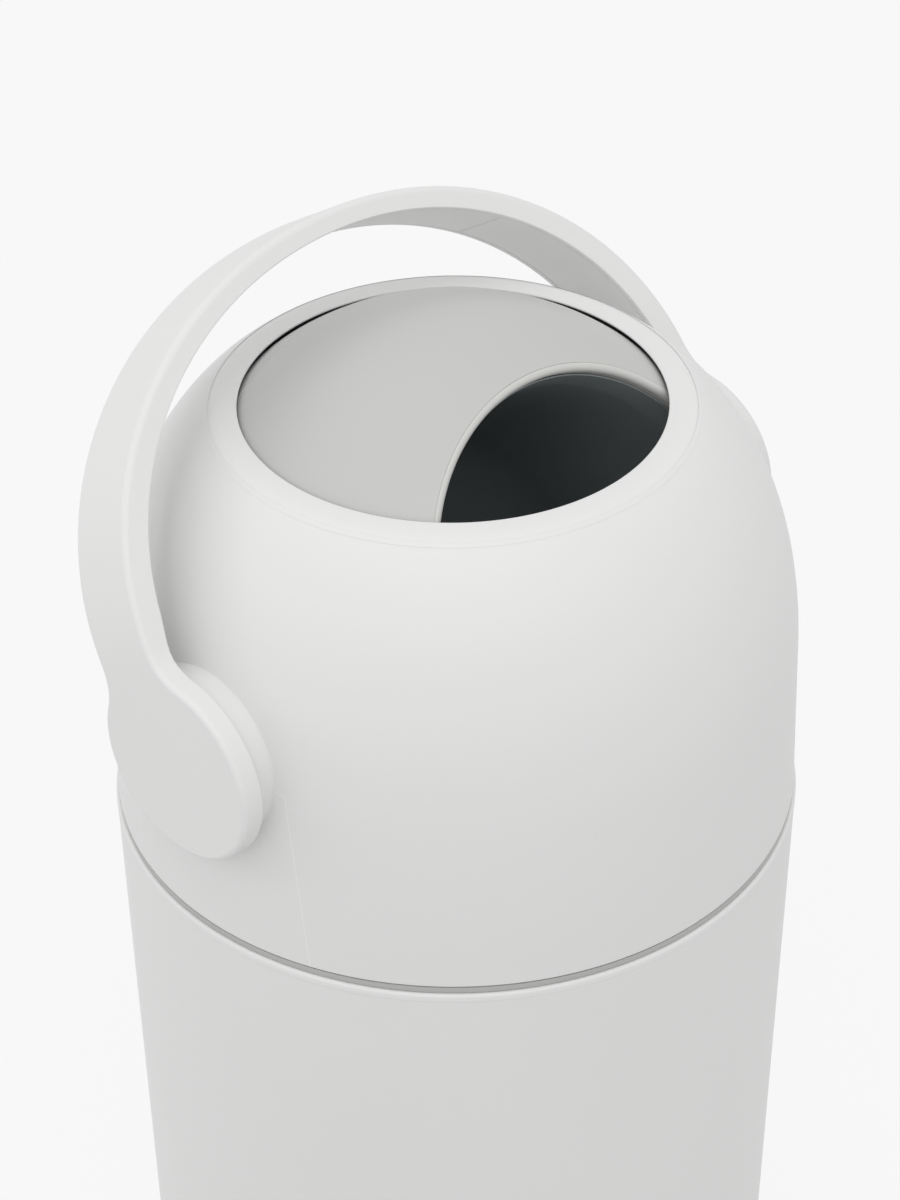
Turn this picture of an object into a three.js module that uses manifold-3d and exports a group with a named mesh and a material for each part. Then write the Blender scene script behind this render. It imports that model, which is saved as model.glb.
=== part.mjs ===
// Nappy bin with a turning drum.
// A tapered body carries a dome lid. A bail handle on two hubs turns a round drum inside the lid,
// so that what is dropped into the drum's bowl falls into the bag below.
// Millimetres, +Z up, origin on the floor under the middle of the body. The hub axis runs along X
// and the front is -Y.

import * as THREE from "three";
import { mergeVertices } from "three/addons/utils/BufferGeometryUtils.js";
import Module from "manifold-3d";

// Height above the middle of a ball at a given distance from its axis
const ballHeight = (ballR, r) => Math.sqrt(ballR * ballR - r * r);

// Drum, which the lid is built round
const DRUM_R = 127.5;
const DRUM_WALL = 2.4;
const DRUM_LAP = 14;
const DRUM_JOINT = 0.4;
const DRUM_SIDE_ROOM = 15;
const MOUTH_R = 78;
const MOUTH_RING_WIDTH = 3.3;
const MOUTH_RING_FLANGE = 3.7;
const MOUTH_RING_FLANGE_T = 1.6;
const BOWL_WALL = 2;
const BOWL_DROP = 1.6;
const BOWL_FLANGE_T = 2;
const BOWL_DEPTH = 155;
const BOWL_CORNER_R = 52;
const BOWL_DRAFT = 5;

// Body
const FOOT_PROUD = 2;
const SEAM_Z = 340;
const SEAM_GAP = 0.5;
const BODY_PROUD = 1.1;
const BODY_TAPER = 6.8;
const BODY_WALL = 2.6;
const BODY_EDGE_R = 9;
const BODY_FLOOR = 3.6;
const RIM_WALL = 4;
const RIM_HEIGHT = 12;
const RIM_EDGE_R = 1.1;
const LEDGE_DROP = 52.6;
const LEDGE_WIDTH = 7;
const LEDGE_T = 2.6;

// Feet
const FOOT_R = 9;
const FOOT_POCKET = 1.8;
const FOOT_INSET = 24;

// Bag ring
const BAG_RING_T = 2.6;
const BAG_RING_WIDTH = 31.3;
const BAG_RING_SKIRT = 16;

// Lid shell
const LID_WALL = 2.6;
const LID_EDGE_R = 0.8;
const SHOULDER_DRAFT = 1.6;
const SHOULDER_RISE = 69.7;
const SHOULDER_PULL = 79;
const CROWN_PULL = 7.6;
const CROWN_SLOPE_DEG = 32.6;
const LIP_MARGIN = 7;
const LIP_STAND = 2.47;
const LIP_WIDTH = 10.5;
const LIP_FALL = 0.8;
const LIP_EDGE_R = 0.5;
const LIP_EDGE_T = 0.9;

// Lid bosses and bearings
const BOSS_R = 36;
const BOSS_PROUD = 1.8;
const BOSS_WALL = 3;
const BOSS_DEPTH = 17.8;
const BEARING_WALL = 3.2;
const BUSH_WALL = 1.8;
const BUSH_FLANGE_WIDTH = 3.3;
const BUSH_FLANGE_T = 1.5;
const STOP_SLOT_INNER_R = 24;
const STOP_SLOT_OUTER_R = 31;
const STOP_PLAY_DEG = 1.5;

// Lid base
const BAND_HEIGHT = 2.6;
const BAND_INSET = 1.5;
const BASE_T = 2.6;
const BASE_STEP = 1;
const SKIRT_WALL = 2.8;
const SKIRT_DEPTH = 15;
const CRADLE_MARGIN = 5;
const CRADLE_SEAT = 8;
const CRADLE_DROP = 17.5;
const DROP_HOLE_MARGIN = 6;
const SEAL_GROOVE_Z = 8;
const SEAL_GROOVE_HEIGHT = 4;
const SEAL_GROOVE_DEPTH = 1.6;

// Lid posts and base screws
const POST_INSET = 11.9;
const POST_R = 5;
const POST_HEIGHT = 25;
const POST_WEB = 3;
const SCREW_R = 1.9;
const SCREW_LENGTH = 16;
const SCREW_HEAD_R = 4;
const SCREW_HEAD_T = 2;
const SCREW_HOLE_PLAY = 0.3;

// Drum seals
const SEAL_WIPE_GAP = 0.6;
const SEAL_T = 2.2;
const UPPER_SEAL_MARGIN = 0.6;
const UPPER_SEAL_WIDTH = 5;
const LOWER_SEAL_WIDTH = 7;
const LOWER_SEAL_STAND = 4.58;

// Axles
const AXLE_R = 12;
const AXLE_FLANGE_R = 20;
const AXLE_FLANGE_T = 4;
const AXLE_COLLAR_R = 17;
const AXLE_COLLAR_T = 2.5;
const AXLE_HEX_R = 9;

// Handle
const HANDLE_LEAN_DEG = 34;
const HANDLE_WIDTH = 36;
const HUB_DEPTH = 9.3;
const HUB_OVERHANG = 4.2;
const HUB_TAPER = 0.3;
const HUB_EDGE_R = 2.4;
const ARCH_ROOM = 24.2;
const ARCH_START = 36.7;
const LEG_T = 11.6;
const CROWN_T = 9;
const NECK_FILLET_R = 22;
const HANDLE_SKIN = 2.4;
const STRIP_T = 2.2;
const STRIP_JOINT_DEG = 51;
const STRIP_JOINT_GAP = 0.4;
const HUB_RING_WALL = 4.8;
const CHANNEL_START = 3;

// Hub plates and their screws
const HUB_PLATE_T = 2.5;
const SOCKET_WALL = 4;
const SOCKET_WEB = 1.3;
const LUG_T = 2.3;
const LUG_HALF_DEG = 6;
const HUB_SCREW_R = 2;
const HUB_SCREW_LENGTH = 14;
const HUB_SCREW_HEAD_T = 1.6;

// Fits
const GAP = 0.3;
const RUNNING_GAP = 0.6;
const SHAFT_PLAY = 0.1;
const OVERRUN = 5;
const MERGE_DISTANCE = 0.0001;

// Counts and shares
const ROUND_STEPS = 40;
const HUB_STEPS = 32;
const BEARING_STEPS = 28;
const SMALL_STEPS = 16;
const SCREW_STEPS = 12;
const HEX_SIDES = 6;
const ARCH_STEPS = 32;
const SHOULDER_STEPS = 8;
const EDGE_STEPS = 3;
const FILLET_STEPS = 5;
const BALL_STEPS = 8;
const TONGUE_STEPS = 2;
const FOOT_COUNT = 4;
const POST_COUNT = 4;
const ARCH_POWER_SHARE = 2.05;

// Widths, worked out from the drum outwards
const TURN = 2 * Math.PI;
const SEAM_R = DRUM_R + DRUM_SIDE_ROOM;
const BODY_TOP_R = SEAM_R + BODY_PROUD;
const BODY_BOTTOM_R = BODY_TOP_R - BODY_TAPER;
const RIM_INNER_R = BODY_TOP_R - RIM_WALL;
const SHOULDER_R = SEAM_R - SHOULDER_DRAFT;
const LIP_OPENING_R = MOUTH_R + LIP_MARGIN;
const LIP_OUTER_R = LIP_OPENING_R + LIP_WIDTH;
const UPPER_SEAL_R = LIP_OPENING_R + UPPER_SEAL_MARGIN;
const POST_CIRCLE_R = SEAM_R - LID_WALL - POST_INSET;
const DROP_HOLE_R = MOUTH_R + DROP_HOLE_MARGIN;
const CRADLE_INNER_R = DROP_HOLE_R + CRADLE_SEAT;
const CRADLE_OUTER_R = POST_CIRCLE_R - POST_R - CRADLE_MARGIN;
const DRUM_INNER_R = DRUM_R - DRUM_WALL;
const TONGUE_R = DRUM_INNER_R - GAP;
const TONGUE_INNER_R = TONGUE_R - DRUM_WALL;
const SHELL_HOLE_R = MOUTH_R + MOUTH_RING_WIDTH + GAP;
const MOUTH_RING_FLANGE_R = MOUTH_R + MOUTH_RING_WIDTH + MOUTH_RING_FLANGE;
const MOUTH_RING_BOTTOM = ballHeight(DRUM_INNER_R - GAP, MOUTH_RING_FLANGE_R) - MOUTH_RING_FLANGE_T;
const BORE_R = AXLE_R + SHAFT_PLAY + BUSH_WALL + GAP;
const ARCH_RISE = SEAM_R + ARCH_ROOM;
const HUB_R = BOSS_R + HUB_OVERHANG;
const HUB_FACE_R = HUB_R - HUB_TAPER - HUB_EDGE_R;

// Heights
const BAND_TOP_Z = SEAM_Z - SEAM_GAP;
const BAND_BOTTOM_Z = BAND_TOP_Z - BAND_HEIGHT;
const RIM_Z = BAND_BOTTOM_Z - GAP;
const LEDGE_Z = RIM_Z - LEDGE_DROP;
const BASE_TOP_Z = SEAM_Z + BASE_STEP;
const HUB_Z = BASE_TOP_Z - CRADLE_DROP + LOWER_SEAL_STAND + ballHeight(DRUM_R, DROP_HOLE_R);
const LIP_Z = HUB_Z + ballHeight(DRUM_R, LIP_OPENING_R) + LIP_STAND;

// Places along the hub axis
const COLLAR_X = DRUM_R + GAP;
const BUSH_START_X = COLLAR_X + AXLE_COLLAR_T + RUNNING_GAP;
const BEARING_START_X = BUSH_START_X + BUSH_FLANGE_T + GAP;
const BOSS_FACE_X = SEAM_R + BOSS_PROUD;
const HUB_BACK_X = BOSS_FACE_X + RUNNING_GAP;
const HUB_FACE_X = HUB_BACK_X + HUB_DEPTH;
const HUB_SCREW_SEAT_X = HUB_FACE_X - HANDLE_SKIN - GAP - HUB_SCREW_HEAD_T;
const SOCKET_END_X = HUB_SCREW_SEAT_X - GAP;
const AXLE_END_X = SOCKET_END_X - SOCKET_WEB - GAP;
const MOUTH_TILT_DEG = 90 - HANDLE_LEAN_DEG;

const rad = THREE.MathUtils.degToRad;
const deg = THREE.MathUtils.radToDeg;

// Body radius at a height, on the outside of its straight tapered wall
function bodyRadius(z) {
  const share = (z - FOOT_PROUD) / (RIM_Z - FOOT_PROUD);
  return BODY_BOTTOM_R + share * (BODY_TOP_R - BODY_BOTTOM_R);
}

const wasm = await Module();
wasm.setup();

const materials = {
  white: plastic(0xe9e9e7, 0.55),
  grey: plastic(0xc9cac8, 0.5),
  dark: plastic(0x2b2f31, 0.6),
  natural: plastic(0xdadbd8, 0.5),
  rubber: plastic(0x191a1b, 0.85),
  steel: new THREE.MeshStandardMaterial({ color: 0xb8bbbe, roughness: 0.35, metalness: 0.9 }),
};

function plastic(color, roughness) {
  return new THREE.MeshStandardMaterial({ color, roughness, metalness: 0 });
}

// Solids: three.js geometry in and out of manifold-3d, which only joins and cuts

function solid(geometry) {
  const bare = new THREE.BufferGeometry();
  bare.setAttribute("position", geometry.getAttribute("position"));
  bare.setIndex(geometry.index);
  const merged = mergeVertices(bare, MERGE_DISTANCE);
  const mesh = new wasm.Mesh({
    numProp: 3,
    vertProperties: new Float32Array(merged.attributes.position.array),
    triVerts: new Uint32Array(merged.index.array),
  });
  return new wasm.Manifold(mesh);
}

function geometryOf(made) {
  const mesh = made.getMesh();
  const geometry = new THREE.BufferGeometry();
  geometry.setAttribute("position", new THREE.BufferAttribute(new Float32Array(mesh.vertProperties), 3));
  geometry.setIndex(new THREE.BufferAttribute(new Uint32Array(mesh.triVerts), 1));
  geometry.computeVertexNormals();
  return geometry;
}

const join = (first, ...others) => others.reduce((sum, other) => sum.add(other), first);
const cut = (first, ...others) => others.reduce((rest, other) => rest.subtract(other), first);

// A closed profile of [radius, height] points turned about Z
function turned(profile, steps) {
  const area = profile.reduce((sum, [r, z], i) => {
    const [nextR, nextZ] = profile[(i + 1) % profile.length];
    return sum + r * nextZ - nextR * z;
  }, 0);
  const ordered = area > 0 ? profile : [...profile].reverse();
  const points = [...ordered, ordered[0]].map(([r, z]) => new THREE.Vector2(r, z));
  return new THREE.LatheGeometry(points, steps).rotateX(Math.PI / 2);
}

// A round or many-sided bar along X, which may taper from its start to its end
function bar(startX, endX, startR, steps, endR = startR) {
  return new THREE.CylinderGeometry(endR, startR, endX - startX, steps)
    .rotateZ(-Math.PI / 2)
    .translate((startX + endX) / 2, 0, 0);
}

// A round bar along Z
function post(bottomZ, topZ, r, steps) {
  return new THREE.CylinderGeometry(r, r, topZ - bottomZ, steps)
    .rotateX(Math.PI / 2)
    .translate(0, 0, (bottomZ + topZ) / 2);
}

// Points of an arc about a centre, from one angle to another in degrees
function arc(centreR, centreZ, radius, fromDeg, toDeg, steps) {
  return Array.from({ length: steps + 1 }, (_, i) => {
    const angle = rad(fromDeg + ((toDeg - fromDeg) * i) / steps);
    return [centreR + radius * Math.cos(angle), centreZ + radius * Math.sin(angle)];
  });
}

// Points of a ball's outline, from one height above its middle to another
function ballArc(radius, fromZ, toZ, steps) {
  const angle = (z) => deg(Math.asin(z / radius));
  return arc(0, 0, radius, angle(fromZ), angle(toZ), steps);
}

// A sector of a ring in the YZ plane, given a length along X
function ringSector(startX, endX, innerR, outerR, fromDeg, toDeg, steps) {
  const points = [
    ...arc(0, 0, outerR, fromDeg, toDeg, steps),
    ...arc(0, 0, innerR, toDeg, fromDeg, steps),
  ];
  return alongX(points, startX, endX);
}

function shapeOf(points) {
  return new THREE.Shape(points.map(([x, y]) => new THREE.Vector2(x, y)));
}

// An outline of points in the YZ plane, given a length along X
function alongX(points, startX, endX) {
  const settings = { depth: endX - startX, bevelEnabled: false };
  const toX = new THREE.Matrix4().makeBasis(
    new THREE.Vector3(0, 1, 0),
    new THREE.Vector3(0, 0, 1),
    new THREE.Vector3(1, 0, 0),
  );
  return new THREE.ExtrudeGeometry(shapeOf(points), settings).applyMatrix4(toX).translate(startX, 0, 0);
}

function part(name, geometry, material) {
  const mesh = new THREE.Mesh(geometry, material);
  mesh.name = name;
  return mesh;
}

// A piece made for the right side, and its copy turned half round for the left
function onBothSides(name, geometry, material, turn) {
  const right = part(name + "_right", geometry, material);
  const left = part(name + "_left", geometry, material);
  left.rotation[turn] = Math.PI;
  return [right, left];
}

// Body, feet and bag ring

function bodyGeometry() {
  const outerEdge = arc(
    bodyRadius(FOOT_PROUD) - BODY_EDGE_R, FOOT_PROUD + BODY_EDGE_R, BODY_EDGE_R, -90, 0, EDGE_STEPS);
  const rimEdge = arc(
    BODY_TOP_R - RIM_EDGE_R, RIM_Z - RIM_EDGE_R, RIM_EDGE_R, 0, 90, EDGE_STEPS);
  const floorZ = FOOT_PROUD + BODY_FLOOR;
  const innerEdgeR = BODY_EDGE_R - BODY_WALL;
  const innerEdge = arc(
    bodyRadius(floorZ) - BODY_WALL - innerEdgeR, floorZ + innerEdgeR, innerEdgeR, 0, -90, EDGE_STEPS);
  const innerWall = (z) => bodyRadius(z) - BODY_WALL;
  const profile = [
    [0, FOOT_PROUD],
    ...outerEdge,
    ...rimEdge,
    [RIM_INNER_R, RIM_Z],
    [RIM_INNER_R, RIM_Z - RIM_HEIGHT],
    [innerWall(RIM_Z - RIM_HEIGHT - RIM_WALL), RIM_Z - RIM_HEIGHT - RIM_WALL],
    [innerWall(LEDGE_Z), LEDGE_Z],
    [innerWall(LEDGE_Z) - LEDGE_WIDTH, LEDGE_Z],
    [innerWall(LEDGE_Z) - LEDGE_WIDTH, LEDGE_Z - LEDGE_T],
    [innerWall(LEDGE_Z - LEDGE_T - LEDGE_WIDTH), LEDGE_Z - LEDGE_T - LEDGE_WIDTH],
    ...innerEdge,
    [0, floorZ],
  ];
  const pockets = Array.from({ length: FOOT_COUNT }, (_, i) =>
    solid(footAt(post(FOOT_PROUD - OVERRUN, FOOT_PROUD + FOOT_POCKET, FOOT_R + GAP, SMALL_STEPS), i)));
  return geometryOf(cut(solid(turned(profile, ROUND_STEPS)), ...pockets));
}

function footAt(geometry, index) {
  return geometry
    .translate(BODY_BOTTOM_R - FOOT_INSET, 0, 0)
    .rotateZ((TURN * (index + 0.5)) / FOOT_COUNT);
}

function bagRingGeometry() {
  const bottomZ = LEDGE_Z + GAP;
  const topZ = bottomZ + BAG_RING_T;
  const outerR = bodyRadius(LEDGE_Z) - BODY_WALL - RUNNING_GAP;
  const innerR = outerR - BAG_RING_WIDTH;
  return turned([
    [innerR, topZ],
    [outerR, topZ],
    [outerR, bottomZ],
    [innerR + BAG_RING_T, bottomZ],
    [innerR + BAG_RING_T, bottomZ - BAG_RING_SKIRT],
    [innerR, bottomZ - BAG_RING_SKIRT],
  ], ROUND_STEPS);
}

// Lid

// Outer line of the dome from the seam to the lip ring, as radius and height
function domeLine() {
  const wallAngle = Math.atan2(SEAM_R - SHOULDER_R, SHOULDER_RISE);
  const slope = rad(CROWN_SLOPE_DEG);
  const start = new THREE.Vector2(SHOULDER_R, SEAM_Z + SHOULDER_RISE);
  const end = new THREE.Vector2(LIP_OUTER_R, LIP_Z - LIP_FALL);
  const curve = new THREE.CubicBezierCurve(
    start,
    new THREE.Vector2(
      start.x - SHOULDER_PULL * Math.sin(wallAngle),
      start.y + SHOULDER_PULL * Math.cos(wallAngle)),
    new THREE.Vector2(
      end.x + CROWN_PULL * Math.cos(slope),
      end.y - CROWN_PULL * Math.sin(slope)),
    end,
  );
  return curve.getSpacedPoints(SHOULDER_STEPS).map((point) => [point.x, point.y]);
}

// A line of points moved inwards by a wall, square to itself
function inset(line, wall) {
  return line.map((_, i) => {
    const [r0, z0] = line[Math.max(i - 1, 0)];
    const [r1, z1] = line[Math.min(i + 1, line.length - 1)];
    const length = Math.hypot(r1 - r0, z1 - z0);
    return [line[i][0] - (wall * (z1 - z0)) / length, line[i][1] + (wall * (r1 - r0)) / length];
  });
}

// Height of the lip's underside at a radius, from its thin edge to where the dome's wall begins
function underLip(r) {
  const slope = rad(CROWN_SLOPE_DEG);
  const endR = LIP_OUTER_R - LID_WALL * Math.sin(slope);
  const endZ = LIP_Z - LIP_FALL - LID_WALL * Math.cos(slope);
  const share = (r - LIP_OPENING_R) / (endR - LIP_OPENING_R);
  return LIP_Z - LIP_EDGE_T + share * (endZ - LIP_Z + LIP_EDGE_T);
}

function lidProfile() {
  const dome = domeLine();
  const seamEdge = arc(SEAM_R - LID_EDGE_R, SEAM_Z + LID_EDGE_R, LID_EDGE_R, -90, 0, EDGE_STEPS);
  const lipEdge = arc(
    LIP_OPENING_R + LIP_EDGE_R, LIP_Z - LIP_EDGE_R, LIP_EDGE_R, 90, 180, EDGE_STEPS);
  return [
    [SEAM_R - LID_WALL, SEAM_Z],
    ...seamEdge,
    ...dome,
    ...lipEdge,
    [LIP_OPENING_R, LIP_Z - LIP_EDGE_T],
    ...inset(dome.filter((_, i) => i % 2 === 0), LID_WALL).reverse(),
  ];
}

// What the right boss adds to the lid and cuts from it, about the hub axis
function bossSolids() {
  const startX = BOSS_FACE_X - BOSS_DEPTH;
  const skirt = solid(bar(startX, BOSS_FACE_X, BOSS_R, HUB_STEPS));
  const hollow = solid(
    bar(startX - OVERRUN, BOSS_FACE_X - BOSS_WALL, BOSS_R - BOSS_WALL, HUB_STEPS));
  const bearing = solid(bar(BEARING_START_X, BOSS_FACE_X, BORE_R + BEARING_WALL, BEARING_STEPS));
  const bore = solid(bar(BEARING_START_X - OVERRUN, BOSS_FACE_X + OVERRUN, BORE_R, BEARING_STEPS));
  const slotReach = LUG_HALF_DEG + STOP_PLAY_DEG;
  const slot = solid(ringSector(
    BOSS_FACE_X - BOSS_WALL - OVERRUN, BOSS_FACE_X + OVERRUN,
    STOP_SLOT_INNER_R, STOP_SLOT_OUTER_R, 180 - slotReach, 360 + slotReach, SMALL_STEPS));
  const cap = cut(skirt, hollow);
  const opening = solid(
    bar(startX - OVERRUN, BOSS_FACE_X + OVERRUN, BOSS_R - BOSS_WALL, HUB_STEPS));
  return { cap, opening, bearing, bore, slot };
}

function lidPost(index) {
  const topZ = BASE_TOP_Z + GAP + POST_HEIGHT;
  const column = solid(atPost(post(BASE_TOP_Z + GAP, topZ, POST_R, SCREW_STEPS), index));
  const webLength = SEAM_R - LID_WALL / 2 - POST_CIRCLE_R;
  const web = solid(atPost(
    new THREE.BoxGeometry(webLength, POST_WEB, POST_HEIGHT)
      .translate(webLength / 2, 0, BASE_TOP_Z + GAP + POST_HEIGHT / 2), index));
  return join(column, web);
}

function atPost(geometry, index) {
  return geometry
    .translate(POST_CIRCLE_R, 0, 0)
    .rotateZ((TURN * (index + 0.5)) / POST_COUNT);
}

function baseScrewHole(bottomZ, topZ, index) {
  return solid(atPost(post(bottomZ, topZ, SCREW_R + SCREW_HOLE_PLAY, SCREW_STEPS), index));
}

function lidShellGeometry() {
  const boss = bossSolids();
  let shell = solid(turned(lidProfile(), ROUND_STEPS));
  for (const halfTurns of [0, 180]) {
    const placed = (made) => made.rotate([0, 0, halfTurns]).translate([0, 0, HUB_Z]);
    shell = cut(shell, placed(boss.opening));
    shell = join(shell, placed(boss.cap), placed(boss.bearing));
    shell = cut(shell, placed(boss.bore), placed(boss.slot));
  }
  for (let i = 0; i < POST_COUNT; i += 1) {
    const holeTop = BASE_TOP_Z - BASE_T + SCREW_LENGTH + GAP;
    shell = join(shell, lidPost(i));
    shell = cut(shell, baseScrewHole(BASE_TOP_Z - OVERRUN, holeTop, i));
  }
  return geometryOf(shell);
}

function lidBaseGeometry() {
  const plateBottomZ = BASE_TOP_Z - BASE_T;
  const stepR = SEAM_R - LID_WALL - GAP;
  const skirtR = RIM_INNER_R - GAP;
  const skirtBottomZ = BAND_BOTTOM_Z - SKIRT_DEPTH;
  const grooveZ = BAND_BOTTOM_Z - SEAL_GROOVE_Z;
  const profile = [
    [stepR, BASE_TOP_Z],
    [CRADLE_OUTER_R, BASE_TOP_Z],
    [CRADLE_INNER_R, BASE_TOP_Z - CRADLE_DROP],
    [DROP_HOLE_R, BASE_TOP_Z - CRADLE_DROP],
    [DROP_HOLE_R, plateBottomZ - CRADLE_DROP],
    [CRADLE_INNER_R, plateBottomZ - CRADLE_DROP],
    [CRADLE_OUTER_R, plateBottomZ],
    [skirtR - SKIRT_WALL, plateBottomZ],
    [skirtR - SKIRT_WALL, skirtBottomZ],
    [skirtR, skirtBottomZ],
    [skirtR, grooveZ],
    [skirtR - SEAL_GROOVE_DEPTH, grooveZ],
    [skirtR - SEAL_GROOVE_DEPTH, grooveZ + SEAL_GROOVE_HEIGHT],
    [skirtR, grooveZ + SEAL_GROOVE_HEIGHT],
    [skirtR, BAND_BOTTOM_Z],
    [SEAM_R - BAND_INSET, BAND_BOTTOM_Z],
    [SEAM_R - BAND_INSET, BAND_TOP_Z],
    [stepR, BAND_TOP_Z],
  ];
  const holes = Array.from({ length: POST_COUNT }, (_, i) =>
    baseScrewHole(plateBottomZ - OVERRUN, BASE_TOP_Z + OVERRUN, i));
  return geometryOf(cut(solid(turned(profile, ROUND_STEPS)), ...holes));
}

function baseScrewGeometry() {
  const headTopZ = BASE_TOP_Z - BASE_T - GAP;
  const shank = solid(post(headTopZ - SCREW_HEAD_T / 2, headTopZ + SCREW_LENGTH, SCREW_R, SCREW_STEPS));
  const head = solid(post(headTopZ - SCREW_HEAD_T, headTopZ, SCREW_HEAD_R, SCREW_STEPS));
  return geometryOf(join(shank, head));
}

function bushGeometry() {
  const tubeR = BORE_R - GAP;
  const tube = solid(bar(BUSH_START_X, BOSS_FACE_X - GAP, tubeR, BEARING_STEPS));
  const flange = solid(bar(
    BUSH_START_X, BUSH_START_X + BUSH_FLANGE_T, tubeR + BUSH_FLANGE_WIDTH, BEARING_STEPS));
  const bore = solid(
    bar(BUSH_START_X - OVERRUN, BOSS_FACE_X + OVERRUN, AXLE_R + SHAFT_PLAY, BEARING_STEPS));
  return geometryOf(cut(join(tube, flange), bore));
}

// Seals

function upperSealGeometry() {
  const wipeR = DRUM_R + SEAL_WIPE_GAP;
  const outerR = UPPER_SEAL_R + UPPER_SEAL_WIDTH;
  const tipR = UPPER_SEAL_R + SEAL_T;
  return turned([
    [UPPER_SEAL_R, underLip(UPPER_SEAL_R) - GAP],
    [outerR, underLip(outerR) - GAP],
    [outerR, underLip(outerR) - GAP - SEAL_T],
    [tipR, HUB_Z + ballHeight(wipeR, tipR)],
    [UPPER_SEAL_R, HUB_Z + ballHeight(wipeR, UPPER_SEAL_R)],
  ], ROUND_STEPS);
}

function lowerSealGeometry() {
  const wipeR = DRUM_R + SEAL_WIPE_GAP;
  const innerR = DROP_HOLE_R + GAP;
  const seatZ = BASE_TOP_Z - CRADLE_DROP + GAP;
  const tipR = innerR + LOWER_SEAL_WIDTH / 2;
  return turned([
    [innerR, seatZ],
    [innerR + LOWER_SEAL_WIDTH, seatZ],
    [innerR + LOWER_SEAL_WIDTH, seatZ + SEAL_T],
    [tipR, HUB_Z - ballHeight(wipeR, tipR)],
    [innerR, HUB_Z - ballHeight(wipeR, innerR)],
  ], ROUND_STEPS);
}

function lidSealGeometry() {
  const grooveZ = BAND_BOTTOM_Z - SEAL_GROOVE_Z;
  const innerR = RIM_INNER_R - SEAL_GROOVE_DEPTH;
  return turned([
    [innerR, grooveZ + GAP],
    [RIM_INNER_R - GAP, grooveZ + GAP],
    [RIM_INNER_R - GAP, grooveZ + SEAL_GROOVE_HEIGHT - GAP],
    [innerR, grooveZ + SEAL_GROOVE_HEIGHT - GAP],
  ], ROUND_STEPS);
}

// Drum, drawn with its mouth towards +Z and the handle towards +Y

function axleHole() {
  return solid(bar(-DRUM_R - OVERRUN, DRUM_R + OVERRUN, AXLE_R + GAP, HEX_SIDES));
}

function drumFrontGeometry() {
  const jointZ = DRUM_JOINT / 2;
  const profile = [
    ...ballArc(DRUM_R, jointZ, ballHeight(DRUM_R, SHELL_HOLE_R), BALL_STEPS),
    ...ballArc(DRUM_INNER_R, ballHeight(DRUM_INNER_R, SHELL_HOLE_R), jointZ, BALL_STEPS),
  ];
  return geometryOf(cut(solid(turned(profile, ROUND_STEPS)), axleHole()));
}

// The back half carries a tongue that fits inside the front half
function drumBackGeometry() {
  const jointZ = DRUM_JOINT / 2;
  const profile = [
    ...ballArc(DRUM_R, -DRUM_R, -jointZ, BALL_STEPS),
    [ballHeight(TONGUE_R, jointZ), -jointZ],
    [ballHeight(TONGUE_R, DRUM_LAP), DRUM_LAP],
    ...ballArc(TONGUE_INNER_R, DRUM_LAP, -AXLE_FLANGE_R, TONGUE_STEPS),
    ...ballArc(DRUM_INNER_R, -AXLE_FLANGE_R - DRUM_WALL, -DRUM_INNER_R, BALL_STEPS),
  ];
  return geometryOf(cut(solid(turned(profile, ROUND_STEPS)), axleHole()));
}

function mouthRingGeometry() {
  const outerR = MOUTH_R + MOUTH_RING_WIDTH;
  const edge = Math.acos(outerR / DRUM_R);
  const rollR = MOUTH_RING_WIDTH / (1 + Math.cos(edge));
  const rollZ = ballHeight(DRUM_R, outerR) - rollR * Math.sin(edge);
  const seat = (r) => ballHeight(DRUM_INNER_R - GAP, r);
  return turned([
    ...arc(MOUTH_R + rollR, rollZ, rollR, deg(edge), 180, 2 * EDGE_STEPS),
    [MOUTH_R, MOUTH_RING_BOTTOM],
    [MOUTH_RING_FLANGE_R, MOUTH_RING_BOTTOM],
    [MOUTH_RING_FLANGE_R, seat(MOUTH_RING_FLANGE_R)],
    [outerR, seat(outerR)],
  ], ROUND_STEPS);
}

function bowlGeometry() {
  const outerR = MOUTH_R - GAP;
  const topZ = ballHeight(DRUM_R, MOUTH_R + MOUTH_RING_WIDTH) - BOWL_DROP;
  const flangeZ = MOUTH_RING_BOTTOM - GAP;
  const flangeR = MOUTH_R + MOUTH_RING_WIDTH;
  const lowR = outerR - BOWL_DRAFT;
  const floorZ = topZ - BOWL_DEPTH - BOWL_WALL;
  const innerCornerR = BOWL_CORNER_R - BOWL_WALL;
  return turned([
    [0, floorZ],
    ...arc(lowR - BOWL_CORNER_R, floorZ + BOWL_CORNER_R, BOWL_CORNER_R, -90, 0, EDGE_STEPS + 1),
    [outerR, flangeZ - BOWL_FLANGE_T],
    [flangeR, flangeZ - BOWL_FLANGE_T],
    [flangeR, flangeZ],
    [outerR, flangeZ],
    [outerR, topZ],
    [outerR - BOWL_WALL, topZ],
    ...arc(lowR - BOWL_CORNER_R, floorZ + BOWL_CORNER_R, innerCornerR, 0, -90, EDGE_STEPS + 1),
    [0, floorZ + BOWL_WALL],
  ], ROUND_STEPS);
}

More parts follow.
